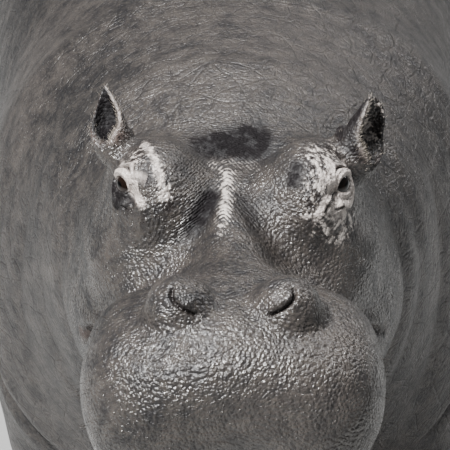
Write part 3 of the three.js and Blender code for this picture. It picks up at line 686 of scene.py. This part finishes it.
class Value:
    """The output of a node. Sums on it add Math nodes."""

    def __init__(self, finish, socket):
        self.finish, self.socket = finish, socket

    def math(self, operation, *others):
        return self.finish.node("Math", {"operation": operation}, dict(enumerate((self, *others))))

    def __add__(self, other):
        return self.math("ADD", other)

    def __sub__(self, other):
        return self.math("SUBTRACT", other)

    def __rsub__(self, other):
        return self.finish.node("Math", {"operation": "SUBTRACT"}, {0: other, 1: self})

    def __mul__(self, other):
        return self.math("MULTIPLY", other)

    def __pow__(self, other):
        return self.math("POWER", other)

    __radd__, __rmul__ = __add__, __mul__

    def between(self, low, high):
        """0 below low, 1 above high and a soft step between."""
        sockets = {"Value": self, "From Min": low, "From Max": high}
        return self.finish.node("MapRange", {"interpolation_type": "SMOOTHSTEP"}, sockets)


class Finish:
    """A material in the making."""

    def __init__(self, name, **constants):
        self.material = bpy.data.materials.new(name)
        self.material.use_nodes = True
        self.tree = self.material.node_tree
        self.shader = self.tree.nodes["Principled BSDF"]
        self.place = self.node("TexCoord", output="Object")
        for socket, value in constants.items():
            self.shader.inputs[socket.replace("_", " ")].default_value = value

    def node(self, kind, settings=None, sockets=None, output=0):
        made = self.tree.nodes.new("ShaderNode" + kind)
        for name, value in (settings or {}).items():
            setattr(made, name, value)
        for socket, value in (sockets or {}).items():
            self.join(made.inputs[socket], value)
        return Value(self, made.outputs[output])

    def join(self, socket, value):
        if isinstance(value, Value):
            self.tree.links.new(value.socket, socket)
        elif isinstance(value, tuple) and len(value) == 3 and socket.type == "RGBA":
            socket.default_value = (*value, 1)
        else:
            socket.default_value = value

    def noise(self, scale, detail=3, roughness=0.5, distortion=0, vector=None, output=0):
        sockets = {"Vector": vector or self.place, "Scale": scale, "Detail": detail}
        sockets |= {"Roughness": roughness, "Distortion": distortion}
        return self.node("TexNoise", None, sockets, output)

    def cells(self, scale, feature="F1", vector=None):
        sockets = {"Vector": vector or self.place, "Scale": scale}
        return self.node("TexVoronoi", {"feature": feature}, sockets, "Distance")

    def attribute(self, name):
        return self.node("Attribute", {"attribute_name": name}, output="Fac")

    def mix(self, amount, first, second):
        """One colour into another."""
        settings = {"data_type": "RGBA", "clamp_factor": True}
        return self.node("Mix", settings, {0: amount, 6: first, 7: second}, 2)

    def stretched(self, scale, turn=(0, 0, 0)):
        """Object coordinates, drawn out or turned."""
        return self.node("Mapping", None, {"Vector": self.place, "Scale": scale, "Rotation": turn})

    def put(self, **sockets):
        for name, value in sockets.items():
            self.join(self.shader.inputs[name.replace("_", " ")], value)
        return self.material


def paint(mesh, name, values):
    """Keeps one number for each point, for the material to read."""
    layer = mesh.attributes.new(name, "FLOAT", "POINT")
    layer.data.foreach_set("value", np.clip(values, 0, 1).astype(np.float32))


def spot(across, up, reach):
    """A round patch on the face, 1 in its middle."""
    return hill(np.hypot(face_x - across, face_up - up), reach)


def stripe(line, reach, first=0.1, last=0.1):
    """A stripe along a line on the face; it does not mirror."""
    gap, share = beside(face_spots, line)
    return hill(gap, reach) * tapered(share, first, last)


points = points_of(hide.data)
normals = normals_of(hide.data)
x, y, z = points.T
near_eye = to_eye(points)
ahead, across, far = about_eye(points)
edge_gap = from_slit(ahead, across)
face_spots = on_face(points - BROW)
face_x, face_up = face_spots.T
top = ramp(-0.12, -0.05, z - BROW[2])
ear_share, ear_rim, ear_inward = at_ears(points)

lid_band = (1 - ramp(0.013, 0.019, edge_gap)) * (near_eye < 0.05) * (abs(ahead) < 1.5)
lid_band *= np.where(face_x > 0, 1, 0.12 + 0.88 * ramp(-0.10, 0.12, across))
brow_band = hill(edge_gap - 0.021, 0.006) * ramp(0.1, 0.4, across) * (near_eye < 0.06)
ridge_gap, ridge_share = beside(np.stack([abs(face_x), face_up], 1), PALE_FOLD)
forwards = ramp(0.0, 0.3, normals @ FACE_OUT)
fold_band = hill(ridge_gap, 0.010) * ramp(0, 0.05, ridge_share) * forwards
fold_band *= 1 - ramp(np.where(face_x > 0, 0.80, 0.55), np.where(face_x > 0, 0.98, 0.75), ridge_share)
bag = hill(np.hypot(face_x - 0.178, (face_up + 0.040) * 0.8), 0.024) * forwards
brow_left = spot(0.152, 0.038, 0.030) + 0.9 * spot(0.142, -0.010, 0.024)
brow_left = brow_left + 0.5 * spot(0.130, -0.050, 0.020)
under_left = 1.4 * spot(0.170, -0.064, 0.030) * forwards
strip = stripe(PALE_STRIP, 0.010)
brow_right = np.maximum(strip, 0.7 * spot(-0.160, 0.046, 0.016)) + 0.5 * spot(-0.105, -0.036, 0.014)
# Painted glint along the crest of the nose and over the brow.
crest_glint = np.maximum(stripe(BRIDGE_CREST, 0.013, 0.15, 0.4), 0.6 * stripe(BROW_GLINT_LINE, 0.012))
pale = np.maximum.reduce([lid_band, 0.9 * fold_band, 0.85 * bag, 0.7 * brow_band, 0.62 * strip * top])
speckled = np.minimum(np.maximum(brow_left, brow_right), 0.85) * top
speckled = np.maximum(speckled, np.minimum(under_left, 0.9))

# Painted shadow: in the hollow behind the forehead, down the flanks of the nose, on the knobs over the eyes
# and round the right eye's lower lid.
hollow = 0.75 * stripe(CROWN_SHADOW_LINE, 0.024, 0.4, 0.3) + 0.5 * spot(0.034, 0.072, 0.040)
flank_shadow = [stripe(line, 0.018, 0.3, 0.5) for line in BRIDGE_FLANKS]
flank_shadow = 0.9 * flank_shadow[0] + 0.45 * flank_shadow[1]
knob_shadow = 1.3 * stripe(KNOB_SHADOW_LINE, 0.017, 0.3, 0.3) + 0.7 * spot(-0.088, 0.030, 0.022)
knob_shadow = knob_shadow + 1.1 * spot(-0.147, 0.010, 0.014)
painted_shadow = np.maximum.reduce([1.6 * hollow, 1.4 * flank_shadow, 0.7 * knob_shadow]) * top * (y < BROW[1] + 0.3)
low_lid_shadow = (1 - ramp(0.016, 0.024, edge_gap)) * (1 - ramp(-0.3, 0.0, across))
low_lid_shadow *= (face_x < 0) * (near_eye < 0.05)
painted_shadow = np.maximum(painted_shadow, 0.8 * low_lid_shadow)

in_ear = ear_share * ramp(0.0, 0.5, (normals * ear_inward).sum(axis=1))
gristle = at_gristle(points, 0.011) / 0.010 * in_ear
under = ramp(0.25, 0.85, -normals[:, 2])
lip_gap, lip_along = beside(np.stack([y, z], 1) - BROW[1:], LIPS)
lip_edge = hill(lip_gap, 0.022) * (lip_along < 0.999) * (y < BROW[1] + 0.05)
rosy = np.maximum.reduce(
    [
        0.35 * hill(near_eye - 0.030, 0.022) * (face_x > 0),
        0.55 * under * ramp(0.30, 0.42, z),
        0.30 * lip_edge,
        0.35 * ear_share * (1 - in_ear),
    ]
)
# Painted shadow in the ears: round the outside of the left ear's hollow, and filling the hollow of the right
# one.
ear_shadow = np.where(face_x > 0, 0.75 * (ear_share - in_ear), 1.8 * in_ear)
to_crest = beside(face_spots, BRIDGE_CREST)[0]
masks = {
    "pale": np.maximum.reduce([pale, 0.8 * gristle, 0.5 * ear_rim]),
    "speckled": np.maximum(speckled, 0.6 * in_ear * (face_x > 0)),
    "painted_shadow": painted_shadow + ear_shadow * (1 - gristle) * (1 - 0.7 * ear_rim),
    "crest_glint": crest_glint * top,
    "rippled": (1 - ramp(0.045, 0.100, to_crest)) * ramp(-0.20, -0.12, z - BROW[2]),
    "arch": 0.5 + face_up + np.hypot(to_crest, 0.006),
    "rosy": rosy,
    "headward": 1 - ramp(-0.95, -0.70, y),
    # The furrow attribute carries the painted crease shade.
    "furrow": crease_shade,
}
for name, values in masks.items():
    paint(hide.data, name, values)

skin = Finish("hide", Specular_IOR_Level=0.75)
wander = {0: skin.noise(9, 2, output="Color"), "Scale": 0.05}
wander = skin.node("VectorMath", {"operation": "SCALE"}, wander)
drifting = skin.node("VectorMath", {"operation": "ADD"}, {0: skin.place, 1: wander})
broad = skin.noise(2.2, 3, 0.55)
patchy = skin.noise(26, 4, 0.62, vector=drifting)
fine = skin.noise(115, 3, 0.65)
specks = skin.noise(230, 2, 0.6)
dapples = skin.noise(70, 2, 0.6, vector=drifting)
lines = skin.noise(1, 3, 0.6, 0.6, vector=skin.stretched((9, 75, 9)))
pebbles = skin.cells(150, vector=drifting)
cracks = skin.cells(95, "DISTANCE_TO_EDGE", drifting)
wide_cracks = skin.cells(21, "DISTANCE_TO_EDGE", drifting)
pale_mask, speckle_mask, painted_shadow_mask, crest_glint_mask, rippled, arch, rosy_mask, headward, crease_shade_mask = map(
    skin.attribute, masks
)

stray = patchy * 10 + dapples * 10 + fine * 3
ripple = (arch * (2 * math.pi / RIPPLE) + stray).math("SINE") * 0.5 + 0.5

tone = skin.mix((broad * 0.6 + patchy * 0.6).between(0.42, 0.82), SLATE, UMBER)
tone = skin.mix((fine + patchy * 0.4).between(0.55, 0.95) * 0.35, tone, MUD)
tone = skin.mix((rosy_mask + (patchy - 0.5) * 0.9).between(0.15, 0.95) * 0.7, tone, ROSY)
dapple = (patchy - 0.5) * 1.4 + (dapples - 0.5) * 2.8 + (specks - 0.5) * 2.2
flecks = (speckle_mask * 0.9 + dapple).between(0.35, 0.90)
tone = skin.mix(flecks * speckle_mask.between(0.02, 0.45) * 0.9, tone, BUFF_AND_GLINT)
# Painted shade in the pits between the pebbles.
pit_shade = (pebbles + (0.5 - dapples) * 1.8).between(0.34, 0.62) * (1 - pale_mask)
tone = skin.mix((pale_mask + (fine - 0.5) * 0.5).between(0.25, 0.85) * 0.85, tone, PALE)
# Painted glints flecked along the crest.
crest_glints = crest_glint_mask * 0.8 + ripple * 0.5 + (fine - 0.5) * 1.5 + (dapples - 0.5) * 1.8
tone = skin.mix(crest_glints.between(0.55, 1.15) * crest_glint_mask.between(0, 0.4), tone, BUFF_AND_GLINT)
# How much painted shadow darkens the tone.
painted_shadow_share = (painted_shadow_mask + (patchy - 0.5) * 0.5 * painted_shadow_mask) * 0.96 * (1 - pale_mask * 0.6)
bodily = 1 - headward * 0.75
tone = skin.mix(painted_shadow_share, tone, PAINTED_SHADOW_TONE)
# Painted shade in the cracks of the body, the pits and the furrows.
painted_crease_shade = (1 - cracks.between(0.0, 0.07)) * 0.20 * bodily
painted_crease_shade = painted_crease_shade + (1 - wide_cracks.between(0.0, 0.03)) * 0.14 * bodily
painted_crease_shade = painted_crease_shade * (1 - pale_mask * 0.7) + crease_shade_mask * 0.9 + pit_shade * speckle_mask.between(0, 0.5) * 0.8
tone = skin.mix(painted_crease_shade, tone, CREVICE_SHADE)

relief = (cracks.between(0.0, 0.12) * 0.45 + wide_cracks.between(0.0, 0.07) * 0.8) * bodily
pebbled = (0.6 - pebbles) * (0.5 + headward * 1.1)
relief = relief + fine + pebbled + specks * 0.5 + lines * 1.6 + ripple * rippled * 0.55
beads = (0.42 - skin.cells(150, vector=skin.stretched((1, 1, 1), (0.4, 0.2, 0)))).math("MAXIMUM", 0.0)
relief = relief + beads * (specks + patchy).between(0.95, 1.15) * 2.0
grain = skin.node("Bump", None, {"Strength": 0.75, "Distance": 0.0022, "Height": relief})
wet = (patchy * 0.7 + specks * 0.6).between(0.45, 0.80) * (0.35 + headward * 0.65)
rough = 0.46 - wet * 0.28 + pale_mask * 0.06 + painted_shadow_mask * 0.36
hide.data.materials.append(skin.put(Base_Color=tone, Roughness=rough, Normal=grain))
# Where painted shadow lies, a dark shader that shines very little is mixed in, as painted shade.
painted_shadow_shader = {"Base Color": (0.012, 0.010, 0.011), "Roughness": 0.9, "Normal": grain}
painted_shadow_shader = skin.node("BsdfPrincipled", None, painted_shadow_shader)
painted_shadow_shader.socket.node.inputs["Specular IOR Level"].default_value = 0.12
shiny = Value(skin, skin.shader.outputs[0])
ragged = (patchy - 0.5) * 3.2 + (dapples - 0.5) * 2.4 + (fine - 0.5) * 1.6
painted_shadow_dullness = (painted_shadow_share + ragged * painted_shadow_share).between(0.25, 1.0) * 0.8
both = skin.node("MixShader", None, {0: painted_shadow_dullness, 1: shiny, 2: painted_shadow_shader})
skin.tree.links.new(both.socket, skin.tree.nodes["Material Output"].inputs["Surface"])

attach(hide, "root")
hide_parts(*FLESH)

# ---------------------------------------------------------------- the eyes
# Each is a ball five centimetres across, almost filled by a very dark brown iris with a pupil that lies
# flat, and always wet. It lies loose in its socket behind the lids, so it is a piece of its own.

IRIS_REACH, PUPIL_LONG, PUPIL_HIGH = 0.74, 0.30, 0.19  # shares of the ball's radius
CORNEA_REACH, CORNEA_RISE, CLEARANCE = 0.45, 0.03, 0.015  # shares of it too


def eyeball(side):
    """A ball that looks straight out of its slit; the right one mirrors the left."""
    long = (EYE_LONG - GAZE * EYE_LONG.dot(GAZE)).normalized()
    frame_of = np.array([long, GAZE.cross(long), GAZE])
    grid = bmesh.new()
    bmesh.ops.create_uvsphere(grid, u_segments=64, v_segments=48, radius=1)
    mesh = mesh_of(grid, f"eyeball_{side}")
    local = points_of(mesh)
    cornea = CORNEA_RISE * hill(np.hypot(local[:, 0], local[:, 1]), CORNEA_REACH) * (local[:, 2] > 0)
    shape = local * (1 - CLEARANCE + cornea[:, None]) * EYE_RADIUS
    place(mesh, (shape @ frame_of) * [side, 1, 1] + EYE_AT[side])
    if side < 0:
        mesh.flip_normals()
    layer = mesh.attributes.new("on_ball", "FLOAT_VECTOR", "POINT")
    layer.data.foreach_set("vector", local.astype(np.float32).ravel())
    mesh.shade_smooth()
    return mesh


iris = Finish("eye", Roughness=0.04, IOR=1.38, Coat_Weight=0.6, Coat_Roughness=0.03)
on_ball = iris.node("Attribute", {"attribute_name": "on_ball"}, output="Vector")
parts = iris.node("SeparateXYZ", None, {0: on_ball})
ball_x, ball_y = parts, Value(iris, parts.socket.node.outputs[1])
radial = (ball_x * ball_x + ball_y * ball_y).math("SQRT")
squashed = ((ball_x * (1 / PUPIL_LONG)) ** 2 + (ball_y * (1 / PUPIL_HIGH)) ** 2).math("SQRT")
rays = iris.noise(14, 4, 0.7, vector=on_ball)
colour = iris.mix(rays.between(0.35, 0.7), (0.008, 0.005, 0.004), (0.024, 0.013, 0.008))
colour = iris.mix(radial.between(IRIS_REACH - 0.14, IRIS_REACH), colour, (0.006, 0.004, 0.003))
colour = iris.mix(squashed.between(0.85, 1.05), (0.001, 0.001, 0.001), colour)
white = iris.mix(rays, (0.10, 0.075, 0.06), (0.20, 0.16, 0.13))
colour = iris.mix(radial.between(IRIS_REACH, IRIS_REACH + 0.06), colour, white)
eye_material = iris.put(Base_Color=colour)
for side, node in ((1, "eye_left"), (-1, "eye_right")):
    ball = linked(eyeball(side), node + "_ball")
    ball.data.materials.append(eye_material)
    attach(ball, "root")
    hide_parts(node)

# ---------------------------------------------------------------- the toenails
# Four blunt nails of horn to a foot, set in the ends of the toes and worn flat by walking. They are as
# dark as the hide, with fine ridges running down to a paler, chipped edge.

NAILS = [f"toenail_{limb}_{toe}" for limb in LIMBS for toe in range(1, 5)]
NAIL_SQUARE = np.array([0.66, 0.62, 0.85])  # below 1, the nearer a box: across, up and out


def nail_onto(node, mesh):
    """Turns a ball into a nail as wide, high and thick as its solid, leaning as that one does."""
    solid = points_of(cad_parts[node].data)
    outward = (middle_of(node) - middle_of("foot_" + node[8:-2])) * [1, 1, 0]
    outward /= np.linalg.norm(outward)
    axes = np.array([np.cross([0, 0, 1], outward), [0, 0, 1], outward])
    local = (solid - middle_of(node)) @ axes.T
    lean = (local[:, 2] * local[:, 1]).mean() / (local[:, 1] ** 2).mean()
    local[:, 2] -= lean * local[:, 1]
    low, high = local.min(axis=0), local.max(axis=0)
    ball = points_of(mesh)
    shape = (low + high) / 2 + np.sign(ball) * abs(ball) ** NAIL_SQUARE * (high - low) / 2
    shape[:, 2] += lean * shape[:, 1]
    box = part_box(node)
    place(mesh, np.clip(shape @ axes + middle_of(node), np.array(box[0]), np.array(box[1])))


nail_grid = bmesh.new()
for node in NAILS:
    ball = bmesh.new()
    bmesh.ops.create_uvsphere(ball, u_segments=28, v_segments=20, radius=1)
    for vert in ball.verts:
        vert.co = Vector((vert.co.x, vert.co.z, -vert.co.y))
    nail = mesh_of(ball, node + "_horn")
    nail_onto(node, nail)
    nail_grid.from_mesh(nail)
bmesh.ops.recalc_face_normals(nail_grid, faces=nail_grid.faces)
nail_mesh = mesh_of(nail_grid, "toenails")
nail_mesh.shade_smooth()
toenails = linked(nail_mesh, "toenails")
horn = Finish("horn", Roughness=0.42)
ridges = horn.noise(1, 3, 0.6, vector=horn.stretched((420, 420, 24)))
worn = horn.noise(60, 3)
height = horn.node("SeparateXYZ", None, {0: horn.place}, 2)
horn_tone = horn.mix(ridges.between(0.35, 0.7), (0.022, 0.018, 0.015), (0.085, 0.068, 0.052))
pale_edge = (1 - (height + worn * 0.02).between(0.012, 0.030)) * 0.7
horn_tone = horn.mix(pale_edge, horn_tone, (0.24, 0.20, 0.155))
horn_grain = horn.node("Bump", None, {"Strength": 0.5, "Distance": 0.0015, "Height": ridges + worn * 0.4})
toenails.data.materials.append(horn.put(Base_Color=horn_tone, Normal=horn_grain))
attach(toenails, "root")
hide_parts(*NAILS)

# ---------------------------------------------------------------- the bristles
# The only hair on the animal: stiff bristles scattered over the lips, a fringe on the rim and tip of each
# ear, and a flat brush on both edges of the tail. Each bristle is a thin bent spike rooted in the hide.

SPIKE_SIDES, SPIKE_LENGTHS = 3, 4
PATCH = 0.003  # how much of the OFBake map one bristle takes


def bristle_tree():
    """Scatters spikes over the part of a skin that its attribute `hairy` picks, along `lie`."""
    tree = bpy.data.node_groups.new("bristles", "GeometryNodeTree")
    sockets = {"Skin": "Geometry", "Per square metre": "Float", "Length": "Float", "Root width": "Float"}
    sockets |= {"Lean": "Float", "Bend": "Float", "Finish": "Material"}
    for name, kind in sockets.items():
        tree.interface.new_socket(name, in_out="INPUT", socket_type="NodeSocket" + kind)
    tree.interface.new_socket("Bristles", in_out="OUTPUT", socket_type="NodeSocketGeometry")

    def add(kind, inputs=(), output=0, **settings):
        node = tree.nodes.new(kind)
        for name, value in settings.items():
            setattr(node, name, value)
        for socket, value in dict(inputs).items():
            if isinstance(value, bpy.types.NodeSocket):
                tree.links.new(value, node.inputs[socket])
            else:
                node.inputs[socket].default_value = value
        return node.outputs[output]

    def times(first, second):
        return add("ShaderNodeMath", {0: first, 1: second}, operation="MULTIPLY")

    def vectors(operation, first, second, output=0):
        return add("ShaderNodeVectorMath", {0: first, 1: second}, output, operation=operation)

    given = add("NodeGroupInput").node.outputs
    hairy = add("GeometryNodeInputNamedAttribute", {"Name": "hairy"}, data_type="FLOAT")
    lie = add("GeometryNodeInputNamedAttribute", {"Name": "lie"}, data_type="FLOAT_VECTOR")
    room = add("GeometryNodeInputNamedAttribute", {"Name": "room"}, data_type="FLOAT")
    density = times(hairy, given["Per square metre"])
    scattered = add(
        "GeometryNodeDistributePointsOnFaces", {"Mesh": given["Skin"], "Density": density, "Seed": 3}
    ).node.outputs
    place_now = add("GeometryNodeInputPosition")
    rooted = add(
        "GeometryNodeStoreNamedAttribute",
        {"Geometry": scattered["Points"], "Name": "root", "Value": place_now},
        data_type="FLOAT_VECTOR",
    )
    wide = {0: (-0.3,) * 3, 1: (0.3,) * 3, "Seed": 5}
    stray = add("FunctionNodeRandomValue", wide, data_type="FLOAT_VECTOR")
    leaning = vectors("SCALE", lie, (0, 0, 0))
    tree.links.new(given["Lean"], leaning.node.inputs["Scale"])
    along = vectors("ADD", vectors("ADD", scattered["Normal"], leaning), stray)
    turned = add("FunctionNodeAlignRotationToVector", {"Vector": along}, axis="Z")
    spike = add(
        "GeometryNodeMeshCone",
        {"Vertices": SPIKE_SIDES, "Side Segments": SPIKE_LENGTHS, "Radius Bottom": 0.5, "Depth": 1},
    )
    height = add("ShaderNodeSeparateXYZ", {0: place_now}, 2)
    bent = add("ShaderNodeCombineXYZ", {0: times(times(height, height), given["Bend"])})
    spike = add("GeometryNodeSetPosition", {"Geometry": spike, "Offset": bent})
    size = add("FunctionNodeRandomValue", {2: 0.55, 3: 1.25, "Seed": 8}, 1, data_type="FLOAT")
    tall = times(times(given["Length"], size), room)
    scale = add("ShaderNodeCombineXYZ", {0: given["Root width"], 1: given["Root width"], 2: tall})
    spikes = {"Points": rooted, "Instance": spike, "Rotation": turned, "Scale": scale}
    spikes = add("GeometryNodeInstanceOnPoints", spikes)
    made = add("GeometryNodeRealizeInstances", {"Geometry": spikes})
    coloured = add("GeometryNodeSetMaterial", {"Geometry": made, "Material": given["Finish"]})
    tree.links.new(coloured, tree.nodes.new("NodeGroupOutput").inputs[0])
    return tree


def unrolled(spots):
    """Places on the hide, unrolled round the line of the spine: along the body, and round it."""
    along = (spots[:, 1] - box_low[1]) / (box_high[1] - box_low[1])
    height = np.interp(spots[:, 1], [-1.5, -0.9, -0.4, 1.5], [1.25, 1.25, 0.95, 0.95])
    round_it = np.arctan2(spots[:, 0], spots[:, 2] - height) / (2 * math.pi) + 0.5
    return np.stack([0.01 + 0.97 * along, 0.01 + 0.97 * round_it], 1)


def bristles(name, hairy, lie, finish, per_metre, length, width, lean, bend):
    """A coat of spikes on the part of the hide that `hairy` picks."""
    bare = hide.data.copy()
    bare.materials.clear()
    paint(bare, "hairy", hairy)
    paint(bare, "room", headroom)
    layer = bare.attributes.new("lie", "FLOAT_VECTOR", "POINT")
    layer.data.foreach_set("vector", lie.astype(np.float32).ravel())
    draft = linked(bare, name + "_draft")
    grown = draft.modifiers.new("bristles", "NODES")
    grown.node_group = BRISTLES
    items = BRISTLES.interface.items_tree
    inputs = {item.name: item.identifier for item in items if item.in_out == "INPUT"}
    values = {"Per square metre": per_metre, "Length": length, "Root width": width, "Lean": lean}
    for label, value in (values | {"Bend": bend * length / width, "Finish": finish}).items():
        grown[inputs[label]] = value
    mesh = evaluated(draft)
    bpy.data.objects.remove(draft)
    roots = numbers_of(mesh.attributes["root"].data, "vector", 3)
    corners = numbers_of(mesh.loops, "vertex_index", 1, np.int32).ravel()
    spot = np.arange(len(mesh.vertices)) % (SPIKE_SIDES * SPIKE_LENGTHS + 1)
    inside = np.stack([spot % SPIKE_SIDES / (SPIKE_SIDES - 1), spot // SPIKE_SIDES / SPIKE_LENGTHS], 1)
    flat_map = unrolled(roots) + PATCH * (inside - 0.5)
    layer = mesh.uv_layers.new(name="OFBake")
    layer.data.foreach_set("uv", flat_map[corners].astype(np.float32).ravel())
    place(mesh, np.clip(points_of(mesh), box_low, box_high))
    mesh.shade_smooth()
    made = linked(mesh, name)
    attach(made, "root")


BRISTLES = bristle_tree()
# The pale bristles' light tone is partly their own colour and partly a painted glint.
coats = {"bristle": [(0.26, 0.22, 0.18), (0.72, 0.66, 0.58)]}
coats["tail bristle"] = [(0.012, 0.010, 0.009), (0.070, 0.055, 0.045)]
for name, shades in coats.items():
    hair = Finish(name, Roughness=0.35)
    coats[name] = hair.put(Base_Color=hair.mix(hair.noise(900, 1).between(0.35, 0.65), *shades))
pale_hair_and_glint, dark_hair = coats.values()

# Room to grow: bristles never reach past the solids' own box.
to_sides = np.min([points - box_low, box_high - points], axis=(0, 2))
headroom = ramp(0.0, 0.025, to_sides)
outward = np.stack([np.sign(x), 0 * x - 0.2, 0 * x - 0.6], 1)
below = BROW[2] - z
snout = hill(y - (BROW[1] - 0.42), 0.10) * ramp(0.02, 0.06, below) * (1 - ramp(0.36, 0.44, below))
snout = snout * (0.3 + 0.7 * ramp(0.08, 0.16, below)) * (near_nostril > 0.075)
bristles("lip_bristles", snout, outward, dark_hair, 1400, 0.024, 0.0008, 0.7, 0.12)

fringe = ear_rim**2 + 0.02 * ear_share
ear_axis = np.where(x[:, None] > 0, EARS[1][0], EARS[-1][0])
bristles("ear_hair", fringe, ear_axis, pale_hair_and_glint, 70000, 0.009, 0.0007, 1.3, 0.10)

tail_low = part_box("tail")[0].z
brush_at = ramp(TAIL_ROOT, TAIL_ROOT + 0.02, y) * (1 - ramp(tail_low + 0.06, tail_low + 0.16, z))
brush_at = brush_at * ramp(0.3, 0.7, abs(normals[:, 0]))
downward = np.stack([0.5 * np.sign(x), 0 * x, 0 * x - 1.0], 1)
bristles("tail_bristles", brush_at, downward, dark_hair, 45000, 0.055, 0.0010, 1.2, 0.08)

# ---------------------------------------------------------------- floor, light and camera
# A plain pale floor, a soft key lamp high before the animal on its right, a wide one overhead and a weak one
# behind it on its left.

floor_mesh = bpy.data.meshes.new("floor")
floor_mesh.from_pydata([(-30, -30, 0), (30, -30, 0), (30, 30, 0), (-30, 30, 0)], [], [(0, 1, 2, 3)])
floor = linked(floor_mesh, "floor")
pale_floor = Finish("pale floor", Roughness=0.85)
grey = pale_floor.mix(pale_floor.noise(3, 4), (0.56, 0.56, 0.55), (0.60, 0.60, 0.59))
floor.data.materials.append(pale_floor.put(Base_Color=grey))

FRAME = 450  # the finished square's side
CLOSENESS = 590  # how much of it one metre takes at the eyes
DISTANCE = 6
ASIDE, ABOVE = -8, -41  # how far the eyes stand from the middle of the square, in its units
camera = linked(bpy.data.cameras.new("camera"), "camera")
camera.location = Vector(BROW + DISTANCE * FACE_OUT)
camera.rotation_euler = Vector(FACE_OUT).to_track_quat("Z", "Y").to_euler()
camera.data.sensor_width = 36
camera.data.lens = camera.data.sensor_width * CLOSENESS * DISTANCE / FRAME
camera.data.shift_x, camera.data.shift_y = ASIDE / FRAME, ABOVE / FRAME
scene.camera = camera

world = bpy.data.worlds.new("sky")
scene.world = world
world.use_nodes = True
sky = world.node_tree.nodes["Background"]
sky.inputs["Color"].default_value = (0.90, 0.94, 1, 1)
sky.inputs["Strength"].default_value = 0.17

for name, spot_at, aim, power, width in [
    ("key", (-2.4, -3.0, 6.0), (0, -1.1, 1.3), 720, 0.7),
    ("overhead", (0.6, 0.6, 6.8), (0, -0.2, 1.0), 150, 2.6),
    ("rim", (4.0, 3.0, 4.0), (0, -0.6, 1.2), 90, 2.0),
]:
    lamp = linked(bpy.data.lights.new(name, "AREA"), name)
    lamp.location = spot_at
    lamp.rotation_euler = (Vector(spot_at) - Vector(aim)).to_track_quat("Z", "Y").to_euler()
    lamp.data.energy = power
    lamp.data.size = width
scene.view_settings.look = "AgX - Medium High Contrast"
